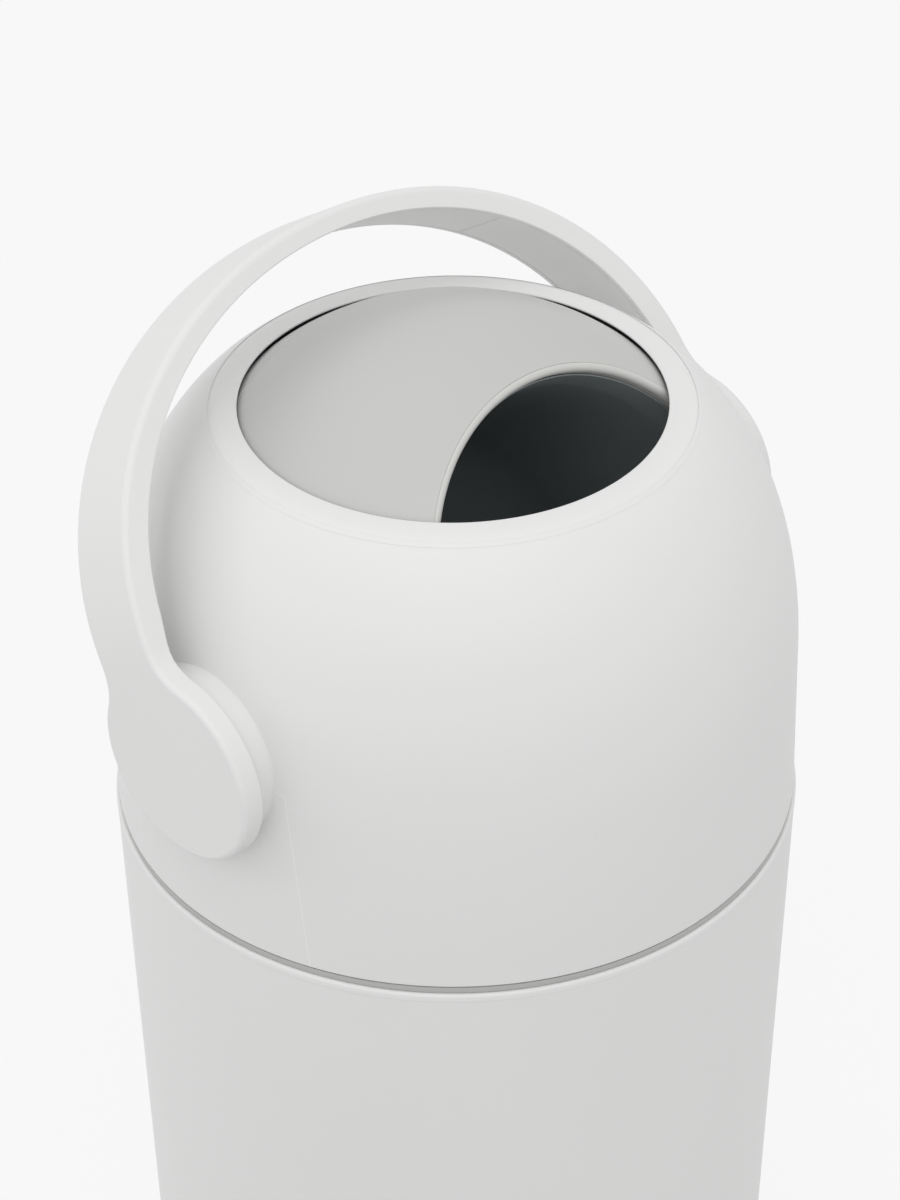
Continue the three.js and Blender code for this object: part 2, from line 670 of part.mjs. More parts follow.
function axleGeometry() {
  const flangeX = ballHeight(TONGUE_INNER_R - RUNNING_GAP, AXLE_FLANGE_R);
  const startX = flangeX - AXLE_FLANGE_T;
  const flange = solid(bar(startX, flangeX, AXLE_FLANGE_R, SMALL_STEPS));
  const drive = solid(bar(startX, COLLAR_X + AXLE_COLLAR_T, AXLE_R, HEX_SIDES));
  const collar = solid(bar(COLLAR_X, COLLAR_X + AXLE_COLLAR_T, AXLE_COLLAR_R, SMALL_STEPS));
  const journal = solid(bar(COLLAR_X, BOSS_FACE_X, AXLE_R, BEARING_STEPS));
  const hexEnd = solid(bar(COLLAR_X, AXLE_END_X, AXLE_HEX_R, HEX_SIDES));
  const threadBore = solid(
    bar(AXLE_END_X - HUB_SCREW_LENGTH, AXLE_END_X + OVERRUN, HUB_SCREW_R + GAP, SCREW_STEPS));
  return geometryOf(cut(join(flange, drive, collar, journal, hexEnd), threadBore));
}

// Handle, drawn with its arch towards +Y and its width along Z

// One point of the arch's outer or inner line, at an angle from the +X leg about the arch's start
function archPoint(halfWidth, rise, angle) {
  const power = 2 / ARCH_POWER_SHARE;
  const across = Math.abs(Math.cos(angle)) ** power * Math.sign(Math.cos(angle));
  const up = Math.abs(Math.sin(angle)) ** power;
  return new THREE.Vector2(halfWidth * across, ARCH_START + (rise - ARCH_START) * up);
}

// The arch between two lines that lie below its outer line, over part of its span, with its legs
// run straight down to a height where that is lower than the arch's start
function archGeometry(outer, inner, fromDeg, toDeg, width, legEnd = ARCH_START) {
  const steps = Math.ceil((ARCH_STEPS * (toDeg - fromDeg)) / 180);
  const stepDeg = (toDeg - fromDeg) / steps;
  const line = (depth) => Array.from({ length: steps + 1 }, (_, i) =>
    archPoint(HUB_FACE_X - depth.leg, ARCH_RISE - depth.crown, rad(fromDeg + stepDeg * i)));
  const outerLine = line(outer);
  const innerLine = line(inner).reverse();
  const points = [...outerLine, ...innerLine];
  if (legEnd < ARCH_START) {
    const low = (point) => new THREE.Vector2(point.x, legEnd);
    points.splice(outerLine.length, 0, low(outerLine.at(-1)), low(innerLine[0]));
    points.push(low(innerLine.at(-1)), low(outerLine[0]));
  }
  const settings = { depth: width, bevelEnabled: false };
  return new THREE.ExtrudeGeometry(new THREE.Shape(points), settings).translate(0, 0, -width / 2);
}

// Side view of the handle: a round hub that runs into the band through a fillet on each side
function handleSidePoints() {
  const half = HANDLE_WIDTH / 2;
  const filletOffset = half + NECK_FILLET_R;
  const filletY = Math.sqrt((HUB_FACE_R + NECK_FILLET_R) ** 2 - filletOffset ** 2);
  const meetDeg = deg(Math.atan2(filletOffset, filletY));
  const top = ARCH_RISE + OVERRUN;
  return [
    [top, half],
    ...arc(filletY, filletOffset, NECK_FILLET_R, 270, 180 + meetDeg, FILLET_STEPS),
    ...arc(0, 0, HUB_FACE_R, meetDeg, 360 - meetDeg, HUB_STEPS).slice(1, -1),
    ...arc(filletY, -filletOffset, NECK_FILLET_R, 180 - meetDeg, 90, FILLET_STEPS),
    [top, -half],
  ];
}

// The right hub's disc, with a round edge on its outer face
function hubDisc() {
  return solid(turned([
    [0, HUB_BACK_X],
    [HUB_R, HUB_BACK_X],
    ...arc(HUB_FACE_R, HUB_FACE_X - HUB_EDGE_R, HUB_EDGE_R, 0, 90, EDGE_STEPS),
    [0, HUB_FACE_X],
  ], HUB_STEPS).rotateY(Math.PI / 2));
}

function handleShellGeometry() {
  const whole = { leg: 0, crown: 0 };
  const underside = { leg: LEG_T, crown: CROWN_T };
  const skin = { leg: HANDLE_SKIN, crown: HANDLE_SKIN };
  const below = { leg: LEG_T + OVERRUN, crown: CROWN_T + OVERRUN };
  const slabWidth = 2 * (HUB_FACE_R + NECK_FILLET_R);
  const slab = solid(archGeometry(whole, underside, 0, 180, slabWidth, 0));
  const side = solid(alongX(handleSidePoints(), -HUB_FACE_X - OVERRUN, HUB_FACE_X + OVERRUN));
  const deep = { leg: HUB_DEPTH + OVERRUN, crown: CROWN_T };
  const hubs = solid(archGeometry(whole, deep, 0, 180, slabWidth, -slabWidth));
  const disc = hubDisc().intersect(hubs);
  const plateSeat = solid(
    bar(HUB_BACK_X - OVERRUN, HUB_FACE_X - HANDLE_SKIN, HUB_R - HUB_RING_WALL, HUB_STEPS));
  const bossRoom = solid(bar(0, HUB_BACK_X, BOSS_R + RUNNING_GAP, HUB_STEPS));
  const channelWidth = HANDLE_WIDTH - 2 * HANDLE_SKIN;
  const channel = solid(archGeometry(skin, below, 0, 180, channelWidth))
    .intersect(channelSpan(channelWidth, CHANNEL_START));
  let shell = slab.intersect(side);
  for (const halfTurn of [0, 180]) {
    shell = cut(shell, bossRoom.rotate([0, halfTurn, 0]));
    shell = join(shell, disc.rotate([0, halfTurn, 0]));
    shell = cut(shell, plateSeat.rotate([0, halfTurn, 0]));
  }
  return geometryOf(cut(shell, channel));
}

// The part of the arch above both hubs, from a margin over them
function channelSpan(width, margin) {
  return solid(new THREE.BoxGeometry(2 * (HUB_FACE_X + OVERRUN), ARCH_RISE, width)
    .translate(0, ARCH_RISE / 2 + HUB_R + margin, 0));
}

// Strips that close the underside of the channel, from one angle to another
function handleStripGeometry(fromDeg, toDeg) {
  const upper = { leg: LEG_T - STRIP_T, crown: CROWN_T - STRIP_T };
  const underside = { leg: LEG_T, crown: CROWN_T };
  const width = HANDLE_WIDTH - 2 * HANDLE_SKIN - 2 * GAP;
  const strip = solid(archGeometry(upper, underside, fromDeg, toDeg, width));
  return geometryOf(strip.intersect(channelSpan(width + OVERRUN, CHANNEL_START + GAP)));
}

function handleStrips() {
  const gapDeg = deg(STRIP_JOINT_GAP / 2 / (ARCH_RISE - ARCH_START - CROWN_T));
  const sideStrip = handleStripGeometry(0, STRIP_JOINT_DEG - gapDeg);
  const centreStrip = handleStripGeometry(STRIP_JOINT_DEG + gapDeg, 180 - STRIP_JOINT_DEG - gapDeg);
  return [
    part("handle_strip_centre", centreStrip, materials.white),
    ...onBothSides("handle_strip", sideStrip, materials.white, "y"),
  ];
}

function hubPlateGeometry() {
  const plateR = HUB_R - HUB_RING_WALL - GAP;
  const plate = solid(bar(HUB_BACK_X, HUB_BACK_X + HUB_PLATE_T, plateR, HUB_STEPS));
  const socket = solid(bar(HUB_BACK_X, SOCKET_END_X, AXLE_HEX_R + SOCKET_WALL, SMALL_STEPS));
  const hexHole = solid(bar(HUB_BACK_X - OVERRUN, AXLE_END_X + GAP, AXLE_HEX_R + GAP, HEX_SIDES));
  const screwHole = solid(
    bar(HUB_BACK_X, SOCKET_END_X + OVERRUN, HUB_SCREW_R + GAP, SCREW_STEPS));
  const lug = solid(ringSector(
    HUB_BACK_X - LUG_T, HUB_BACK_X + HUB_PLATE_T / 2,
    STOP_SLOT_INNER_R + RUNNING_GAP, STOP_SLOT_OUTER_R - RUNNING_GAP,
    180 - LUG_HALF_DEG, 180 + LUG_HALF_DEG, EDGE_STEPS));
  return geometryOf(cut(join(plate, socket, lug), hexHole, screwHole));
}

function hubScrewGeometry() {
  const tipX = AXLE_END_X - HUB_SCREW_LENGTH + GAP;
  const topX = HUB_SCREW_SEAT_X + HUB_SCREW_HEAD_T;
  const shank = solid(bar(tipX, topX, HUB_SCREW_R, SCREW_STEPS));
  const head = solid(bar(HUB_SCREW_SEAT_X, topX, SCREW_HEAD_R, SCREW_STEPS));
  return geometryOf(join(shank, head));
}

// Assembly

const bin = new THREE.Group();
bin.add(part("bin_body", bodyGeometry(), materials.white));
bin.add(part("bag_ring", bagRingGeometry(), materials.natural));
for (let i = 0; i < FOOT_COUNT; i += 1) {
  const pad = footAt(post(0, FOOT_PROUD + FOOT_POCKET - GAP, FOOT_R, SMALL_STEPS), i);
  bin.add(part("foot_" + (i + 1), pad, materials.rubber));
}

const lid = new THREE.Group();
lid.add(part("lid_shell", lidShellGeometry(), materials.white));
lid.add(part("lid_base", lidBaseGeometry(), materials.natural));
lid.add(part("upper_drum_seal", upperSealGeometry(), materials.rubber));
lid.add(part("lower_drum_seal", lowerSealGeometry(), materials.rubber));
lid.add(part("lid_seal", lidSealGeometry(), materials.rubber));
for (let i = 0; i < POST_COUNT; i += 1) {
  lid.add(part("base_screw_" + (i + 1), atPost(baseScrewGeometry(), i), materials.steel));
}
const bearings = new THREE.Group();
bearings.position.z = HUB_Z;
bearings.add(...onBothSides("bush", bushGeometry(), materials.natural, "z"));
lid.add(bearings);

const turner = new THREE.Group();
turner.position.z = HUB_Z;
turner.rotation.x = rad(MOUTH_TILT_DEG);
turner.add(part("drum_front_shell", drumFrontGeometry(), materials.grey));
turner.add(part("drum_back_shell", drumBackGeometry(), materials.grey));
turner.add(part("mouth_ring", mouthRingGeometry(), materials.grey));
turner.add(part("bowl", bowlGeometry(), materials.dark));
turner.add(part("handle_shell", handleShellGeometry(), materials.white));
turner.add(...handleStrips());
turner.add(...onBothSides("axle", axleGeometry(), materials.natural, "y"));
turner.add(...onBothSides("hub_plate", hubPlateGeometry(), materials.natural, "y"));
turner.add(...onBothSides("hub_screw", hubScrewGeometry(), materials.steel, "y"));

const nappyBin = new THREE.Group();
nappyBin.add(bin, lid, turner);

export default nappyBin;
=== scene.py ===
import bmesh
import bpy
import math
from mathutils import Matrix, Vector
from mathutils.geometry import interpolate_bezier


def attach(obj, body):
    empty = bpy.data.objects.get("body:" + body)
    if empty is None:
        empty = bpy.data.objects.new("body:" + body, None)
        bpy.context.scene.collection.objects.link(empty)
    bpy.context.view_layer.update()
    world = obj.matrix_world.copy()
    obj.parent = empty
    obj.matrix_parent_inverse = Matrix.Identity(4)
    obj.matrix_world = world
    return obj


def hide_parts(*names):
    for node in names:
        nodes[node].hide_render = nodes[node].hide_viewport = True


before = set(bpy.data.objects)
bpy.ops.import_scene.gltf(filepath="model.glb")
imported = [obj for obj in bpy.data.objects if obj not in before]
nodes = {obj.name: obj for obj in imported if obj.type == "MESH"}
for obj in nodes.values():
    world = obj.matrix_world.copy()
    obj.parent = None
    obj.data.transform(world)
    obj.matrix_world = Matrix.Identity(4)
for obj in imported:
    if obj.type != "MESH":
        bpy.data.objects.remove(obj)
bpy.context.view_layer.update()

# Body. The tall tapered tub that holds the bag, injection moulded in white polypropylene with a
# thick rolled rim on top, a ledge for the bag ring inside and pockets for four feet below.

BODY_TOP_R = 0.1436
BODY_FOOT_R = 0.1368
BODY_WALL = 0.0026
UNDERSIDE_Z = 0.002
RIM_Z = 0.3366
LEDGE_Z = 0.284
BODY_FLOOR_Z = 0.0056
LEDGE_DEPTH = 0.007
LEDGE_T = 0.0026
FOOT_CIRCLE_R = 0.1128
CORNERS = [math.tau * (quarter + 0.5) / 4 for quarter in range(4)]
ROUND_STEPS = 200
MERGE = 0.000005
SHARP = math.radians(32)


def rounded(corners, closed=True, steps=5):
    """Outline points from corners of (radius, height) or (radius, height, rounding)."""
    points = []
    for index, corner in enumerate(corners):
        here = Vector(corner[:2])
        end = not closed and index in (0, len(corners) - 1)
        if len(corner) < 3 or end:
            points.append(here)
            continue
        back = (Vector(corners[index - 1][:2]) - here).normalized()
        ahead = (Vector(corners[(index + 1) % len(corners)][:2]) - here).normalized()
        half = back.angle(ahead) / 2
        reach = corner[2] / math.tan(half)
        middle = here + (back + ahead).normalized() * corner[2] / math.sin(half)
        first, last = here + back * reach - middle, here + ahead * reach - middle
        sweep = math.pi - 2 * half
        for i in range(steps + 1):
            share = i / steps
            turn = first * math.sin((1 - share) * sweep) + last * math.sin(share * sweep)
            points.append(middle + turn / math.sin(sweep))
    return points


def turned(name, outline, centre=(0, 0, 0), axis=(0, 0, 1), across=(1, 0, 0),
           angle=math.tau, steps=ROUND_STEPS):
    """Draws an outline of (radius, height) points with a corner of a plane and spins it."""
    centre, axis, across = Vector(centre), Vector(axis), Vector(across)
    line = [centre + across * point[0] + axis * point[1] for point in outline]
    on_axis = outline[0][0] < 0.00001
    bpy.ops.object.select_all(action='DESELECT')
    bpy.ops.mesh.primitive_plane_add(size=0.001, location=line[0])
    bpy.ops.object.mode_set(mode='EDIT')
    bpy.ops.mesh.merge(type='CENTER')
    for last, point in zip(line, line[1:] + ([] if on_axis else line[:1])):
        bpy.ops.mesh.extrude_region_move(TRANSFORM_OT_translate={"value": point - last})
    bpy.ops.mesh.select_all(action='SELECT')
    bpy.ops.mesh.remove_doubles(threshold=MERGE)
    bpy.ops.mesh.spin(steps=steps, angle=angle, center=centre, axis=axis)
    bpy.ops.mesh.select_all(action='SELECT')
    bpy.ops.mesh.remove_doubles(threshold=MERGE)
    bpy.ops.mesh.fill_holes(sides=0)
    return settled(name)


def settled(name):
    """Leaves edit mode with the faces outwards, the object at the origin and round faces smooth."""
    bpy.ops.mesh.select_all(action='SELECT')
    bpy.ops.mesh.normals_make_consistent(inside=False)
    bpy.ops.object.mode_set(mode='OBJECT')
    bpy.ops.object.transform_apply(location=True, rotation=True, scale=True)
    bpy.ops.object.shade_smooth_by_angle(angle=SHARP)
    piece = bpy.context.object
    piece.name = piece.data.name = name
    return piece


def picked(piece):
    """Selects one piece alone and makes it the active one."""
    bpy.ops.object.select_all(action='DESELECT')
    bpy.context.view_layer.objects.active = piece
    piece.select_set(True)


def fitted(piece, tool, operation):
    """Cuts a piece with a tool piece, or welds the two, and takes the tool away."""
    picked(piece)
    fit = piece.modifiers.new("fit", 'BOOLEAN')
    fit.object = tool
    fit.operation = operation
    fit.solver = 'EXACT'
    bpy.ops.object.modifier_apply(modifier=fit.name)
    bpy.data.meshes.remove(tool.data)
    bpy.ops.object.shade_smooth_by_angle(angle=SHARP)
    return piece


class Shade:
    """A value or colour that varies over a surface. Sums and products of it add Math nodes."""

    def __init__(self, finish, socket):
        self.finish = finish
        self.socket = socket

    def maths(self, operation, first, second):
        return self.finish.node("ShaderNodeMath", {"operation": operation}, {0: first, 1: second})

    def __add__(self, other):
        return self.maths('ADD', self, other)

    def __sub__(self, other):
        return self.maths('SUBTRACT', self, other)

    def __mul__(self, other):
        return self.maths('MULTIPLY', self, other)

    def __radd__(self, other):
        return self.maths('ADD', other, self)

    def __rsub__(self, other):
        return self.maths('SUBTRACT', other, self)

    def __rmul__(self, other):
        return self.maths('MULTIPLY', other, self)

    def __lt__(self, other):
        return self.maths('LESS_THAN', self, other)

    def __gt__(self, other):
        return self.maths('GREATER_THAN', self, other)

    def size(self):
        """The value without its sign."""
        return self.finish.node("ShaderNodeMath", {"operation": 'ABSOLUTE'}, {0: self})


class Finish:
    """One material. Its nodes are added by one method, and its surface socket takes the result."""

    def __init__(self, name, color, roughness, metallic=0.0):
        self.material = bpy.data.materials.new(name)
        self.material.use_nodes = True
        self.tree = self.material.node_tree
        self.surface = self.tree.nodes["Principled BSDF"]
        self.surface.inputs["Base Color"].default_value = (*color, 1)
        self.surface.inputs["Roughness"].default_value = roughness
        self.surface.inputs["Metallic"].default_value = metallic
        self.place = self.node("ShaderNodeTexCoord", {}, {}, "Object")

    def node(self, kind, settings, values, result=0):
        """Adds a node of a type with its settings, links or sets its sockets, gives one result."""
        made = self.tree.nodes.new(kind)
        for setting, value in settings.items():
            setattr(made, setting, value)
        for socket, value in values.items():
            if isinstance(value, Shade):
                self.tree.links.new(value.socket, made.inputs[socket])
            else:
                made.inputs[socket].default_value = value
        return Shade(self, made.outputs[result])

    def noise(self, scale, detail, stretch=(1, 1, 1)):
        """Soft cloudy variation, scale in patches to the metre, about 0.5 in the middle."""
        place = self.node("ShaderNodeMapping", {}, {"Vector": self.place, "Scale": stretch})
        return self.node(
            "ShaderNodeTexNoise", {}, {"Vector": place, "Scale": scale, "Detail": detail}, "Fac")

    def axes(self):
        """The surface point's X, Y and Z."""
        made = self.node("ShaderNodeSeparateXYZ", {}, {0: self.place})
        return [Shade(self, output) for output in made.socket.node.outputs]

    def between(self, share, low, high):
        """A mix of two colours, of which the first may vary by itself."""
        low = low if isinstance(low, Shade) else (*low, 1)
        return self.node(
            "ShaderNodeMix", {"data_type": 'RGBA'}, {0: share, 6: low, 7: (*high, 1)}, 2)

    def feed(self, socket, shade):
        """Links a value or colour to a socket of the surface."""
        self.tree.links.new(shade.socket, self.surface.inputs[socket])

    def bump(self, height, distance):
        """Raises the surface by the height times a distance in metres."""
        sockets = {"Height": height, "Distance": distance, "Strength": 1.0}
        self.feed("Normal", self.node("ShaderNodeBump", {}, sockets, "Normal"))

    def on(self, *pieces):
        """Gives the pieces this material alone."""
        for piece in pieces:
            piece.data.materials.clear()
            piece.data.materials.append(self.material)


def moulded(name, light, dark, roughness, grain):
    """Moulded plastic: an even colour with faint flow clouds, and a fine spark-eroded grain."""
    finish = Finish(name, light, roughness)
    clouds = finish.noise(9, 3)
    specks = finish.noise(900, 1)
    pores = finish.noise(2600, 2)
    finish.cloudy = finish.between(clouds * 0.75 + specks * 0.25, dark, light)
    finish.feed("Base Color", finish.cloudy)
    finish.feed("Roughness", (clouds - 0.5) * 0.12 + (pores - 0.5) * 0.1 + roughness)
    finish.bump(pores + specks * 0.6, grain)
    return finish


WHITE = ((0.80, 0.80, 0.795), (0.765, 0.765, 0.76), 0.46, 0.00002)
body_plastic = moulded("body_plastic", *WHITE)

foot_slope = (BODY_TOP_R - BODY_FOOT_R) / (RIM_Z - UNDERSIDE_Z)


def wall_r(z):
    """Outside radius of the tapered wall at a height."""
    return BODY_FOOT_R + foot_slope * (z - UNDERSIDE_Z)


ledge_r = wall_r(LEDGE_Z) - BODY_WALL
bin_body = turned("body_tub", rounded([
    (0, 0.0032),
    (0.0975, 0.0032, 0.0006),
    (0.0987, UNDERSIDE_Z, 0.0006),
    (BODY_FOOT_R, UNDERSIDE_Z, 0.009),
    (wall_r(0.3328) - 0.00012, 0.3328, 0.0004),
    (BODY_TOP_R - 0.00002, 0.3334, 0.0004),
    (BODY_TOP_R, RIM_Z, 0.0013),
    (0.1396, RIM_Z, 0.0006),
    (0.1396, 0.3246, 0.0004),
    (wall_r(0.3206) - BODY_WALL, 0.3206, 0.001),
    (ledge_r, LEDGE_Z, 0.0006),
    (ledge_r - LEDGE_DEPTH, LEDGE_Z, 0.0006),
    (ledge_r - LEDGE_DEPTH, LEDGE_Z - LEDGE_T, 0.0006),
    (wall_r(0.2744) - BODY_WALL, 0.2744, 0.002),
    (wall_r(BODY_FLOOR_Z) - BODY_WALL, BODY_FLOOR_Z, 0.0064),
    (0, BODY_FLOOR_Z),
], closed=False))
foot_places = [
    (FOOT_CIRCLE_R * math.cos(corner), FOOT_CIRCLE_R * math.sin(corner), 0) for corner in CORNERS]
for place in foot_places:
    pocket = turned(
        "pocket", [(0, -0.002), (0.0093, -0.002), (0.0093, 0.0038), (0, 0.0038)], place, steps=48)
    fitted(bin_body, pocket, 'DIFFERENCE')
body_plastic.on(bin_body)
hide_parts("bin_body")
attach(bin_body, "bin")

# Feet. Four round rubber pads with a worn rounded edge and a ring groove underneath, glued into
# shallow pockets in the underside of the body.


def copied(piece, name, quarters):
    """A copy with its own mesh, turned about the bin's axis by quarter turns."""
    picked(piece)
    bpy.ops.object.duplicate(linked=False)
    copy = bpy.context.object
    copy.name = copy.data.name = name
    copy.rotation_euler.z = math.tau * quarters / 4
    bpy.ops.object.transform_apply(location=True, rotation=True, scale=True)
    return copy


foot_rubber = moulded(
    "foot_rubber", (0.012, 0.0125, 0.013), (0.007, 0.0075, 0.008), 0.78, 0.00004)
first_foot = turned("foot_pad_1", rounded([
    (0, 0.0),
    (0.0052, 0.0, 0.0002),
    (0.0056, 0.0005, 0.0002),
    (0.0062, 0.0005, 0.0002),
    (0.0066, 0.0, 0.0002),
    (0.009, 0.0, 0.0006),
    (0.009, 0.0035, 0.0002),
    (0, 0.0035),
], closed=False), foot_places[0], steps=48)
feet = [first_foot] + [
    copied(first_foot, f"foot_pad_{number}", number - 1) for number in (2, 3, 4)]
for number, foot in enumerate(feet, 1):
    foot_rubber.on(foot)
    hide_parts(f"foot_{number}")
    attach(foot, "bin")

# Bag ring. A flat ring with a rolled inner lip that the bag is pulled over. Natural uncoloured
# polypropylene, moulded in one and dropped loose on the ledge inside the body.

inner_plastic = moulded("inner_plastic", (0.69, 0.71, 0.69), (0.64, 0.66, 0.64), 0.4, 0.000015)
BAG_RING_TOP = 0.2869
BAG_RING_UNDER = 0.2843
BAG_RING_DISH = 0.2862
BAG_LIP_Z = 0.2683
BAG_LIP_T = 0.0026
ring_outer_r = ledge_r - 0.0006
ring_inner_r = ring_outer_r - 0.0313
bag_ring = turned("bag_holder_ring", rounded([
    (ring_inner_r, BAG_RING_TOP, 0.0012),
    (ring_inner_r + 0.008, BAG_RING_TOP, 0.0004),
    (ring_inner_r + 0.009, BAG_RING_DISH, 0.0004),
    (ring_outer_r - 0.004, BAG_RING_DISH, 0.0004),
    (ring_outer_r - 0.003, BAG_RING_TOP, 0.0004),
    (ring_outer_r, BAG_RING_TOP, 0.0006),
    (ring_outer_r, BAG_RING_UNDER, 0.0006),
    (ring_inner_r + BAG_LIP_T, BAG_RING_UNDER, 0.001),
    (ring_inner_r + BAG_LIP_T, BAG_LIP_Z, 0.0008),
    (ring_inner_r, BAG_LIP_Z, 0.0008),
]))
inner_plastic.on(bag_ring)
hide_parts("bag_ring")
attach(bag_ring, "bin")

# Lid shell. The white dome with its flat lip ring and a round boss on each side for the hub
# bearings. One polypropylene moulding, screwed to the base ring on four hollow posts inside. Beside
# each boss a pale hairline follows the parting line of its mould's slides: a painted highlight
# where that fine ridge would catch the light.

SEAM_R = 0.1425
SEAM_Z = 0.34
WALL_TOP = Vector((0.1409, 0.4097))
LIP_Z = 0.5215
LIP_INNER_R = 0.085
LIP_EDGE_T = 0.0009
CREASE = Vector((0.0955, LIP_Z - 0.0008))
HUB = Vector((0, 0, 0.424))
BOSS_R = 0.036
BOSS_WALL = 0.003
BOSS_FACE_X = 0.1443
BEARING_R = 0.0142
SCREW_CIRCLE_R = 0.128
SCREW_BORE_R = 0.0022
wall_lean = math.atan2(SEAM_R - WALL_TOP.x, WALL_TOP.y - SEAM_Z)
crown_slope = math.radians(32.6)
shoulder = interpolate_bezier(
    WALL_TOP,
    WALL_TOP + 0.079 * Vector((-math.sin(wall_lean), math.cos(wall_lean))),
    CREASE + 0.0076 * Vector((math.cos(crown_slope), -math.sin(crown_slope))),
    CREASE, 48)
shoulder = [Vector(point[:2]) for point in shoulder]


def moved_in(line, wall):
    """The line of points moved inwards by a wall."""
    moved = []
    for i, point in enumerate(line):
        way = (line[min(i + 1, len(line) - 1)] - line[max(i - 1, 0)]).normalized()
        moved.append(point + wall * Vector((-way.y, way.x)))
    return moved


LIP_UNDER = Vector((LIP_INNER_R, LIP_Z - LIP_EDGE_T))
under_dome = moved_in(shoulder, BODY_WALL)[::-1]


def under_lip(r):
    """Height of the lip's underside, from its thin edge to the dome's wall."""
    share = (r - LIP_UNDER.x) / (under_dome[0].x - LIP_UNDER.x)
    return LIP_UNDER.y + share * (under_dome[0].y - LIP_UNDER.y)


lid_line = rounded([
    (0.1399, SEAM_Z, 0.0004),
    (SEAM_R, SEAM_Z, 0.0008),
    tuple(WALL_TOP),
])[:-1] + shoulder[:-2] + rounded([
    tuple(shoulder[-3]),
    (CREASE.x, CREASE.y, 0.012),
    (LIP_INNER_R, LIP_Z, 0.0004),
    (LIP_UNDER.x, LIP_UNDER.y, 0.0003),
    tuple(under_dome[0]),
], closed=False)[1:] + under_dome[1:]
lid_shell = turned("lid_dome", lid_line)


def boss_cap(side):
    """The round boss that stands out of the dome, with the bearing tube in its middle."""
    root_x, room_x, tube_x, tube_r = 0.1265, 0.1413, 0.1327, 0.0174
    return turned("boss", rounded([
        (BEARING_R, BOSS_FACE_X, 0.0005),
        (BOSS_R, BOSS_FACE_X, 0.0009),
        (BOSS_R, root_x),
        (BOSS_R - BOSS_WALL, root_x),
        (BOSS_R - BOSS_WALL, room_x),
        (tube_r, room_x),
        (tube_r, tube_x),
        (BEARING_R, tube_x, 0.0005),
    ]), HUB, (side, 0, 0), (0, 0, 1), steps=128)


def stop_slot(side):
    """The curved slot in the boss face that the hub's stop lug runs in."""
    lean = math.radians(7.5)
    across = Vector((0, side * math.cos(lean), math.sin(lean)))
    inner_r, outer_r, low_x, high_x = 0.024, 0.031, 0.136, 0.149
    return turned(
        "slot", [(inner_r, low_x), (outer_r, low_x), (outer_r, high_x), (inner_r, high_x)],
        HUB, (side, 0, 0), across, angle=math.radians(195), steps=64)


def block(middle, size, turn=0.0):
    """A cube scaled and turned to a block, left open in edit mode with all of it selected."""
    bpy.ops.object.select_all(action='DESELECT')
    bpy.ops.mesh.primitive_cube_add(size=1, location=middle, rotation=(0, 0, turn), scale=size)
    bpy.ops.object.mode_set(mode='EDIT')
    bpy.ops.mesh.select_all(action='SELECT')


for side in (1, -1):
    room = turned(
        "room", [(0, 0.12), (BOSS_R - BOSS_WALL, 0.12), (BOSS_R - BOSS_WALL, 0.15), (0, 0.15)],
        HUB, (side, 0, 0), (0, 0, 1), steps=128)
    fitted(lid_shell, room, 'DIFFERENCE')
    fitted(lid_shell, boss_cap(side), 'UNION')
    fitted(lid_shell, stop_slot(side), 'DIFFERENCE')
POST_R = 0.005
POST_FOOT_Z = 0.3413
POST_TOP_Z = 0.366
BORE_TOP_Z = 0.36
WEB_SIZE = (0.0085, 0.003, 0.0246)
WEB_R = 0.1367
WEB_Z = 0.3537
for corner in CORNERS:
    outwards = Vector((math.cos(corner), math.sin(corner), 0))
    post = turned("post", rounded([
        (0, BORE_TOP_Z),
        (SCREW_BORE_R, BORE_TOP_Z),
        (SCREW_BORE_R, POST_FOOT_Z, 0.0003),
        (POST_R, POST_FOOT_Z, 0.0005),
        (POST_R, POST_TOP_Z, 0.0005),
        (0, POST_TOP_Z),
    ], closed=False), outwards * SCREW_CIRCLE_R, steps=48)
    block(outwards * WEB_R + Vector((0, 0, WEB_Z)), WEB_SIZE, corner)
    bpy.ops.mesh.bevel(offset=0.0003, segments=2, affect='EDGES')
    fitted(lid_shell, fitted(post, settled("web"), 'UNION'), 'UNION')

SLIDE_TOP_Z = 0.4222
SLIDE_HALF = 0.0407
SLIDE_FLARE = 0.1157
HAIR = 0.00014
lid_plastic = moulded("lid_plastic", *WHITE)
_, lid_y, lid_z = lid_plastic.axes()
slide_edge = (lid_y.size() - SLIDE_HALF - (SLIDE_TOP_Z - lid_z) * SLIDE_FLARE).size() < HAIR
slide_top = (
    ((lid_z - SLIDE_TOP_Z).size() < HAIR)
    * (lid_y.size() < SLIDE_HALF + 0.0002) * (lid_y.size() > BOSS_R))
# Painted highlight: the parting line of the mould's slides is a fine ridge, and the paler colour
# along it stands for the light that the ridge catches.
parting_line_highlight = slide_edge * (lid_z < SLIDE_TOP_Z) + slide_top
lid_plastic.feed("Base Color", lid_plastic.between(
    parting_line_highlight * 0.6, lid_plastic.cloudy, (0.95, 0.95, 0.945)))
lid_plastic.on(lid_shell)
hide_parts("lid_shell")
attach(lid_shell, "lid")

# Lid base. The ring that closes the dome from below: its edge is the mid-grey band at the seam,
# and its skirt drops inside the body's rim. Grey polypropylene, screwed on from below.

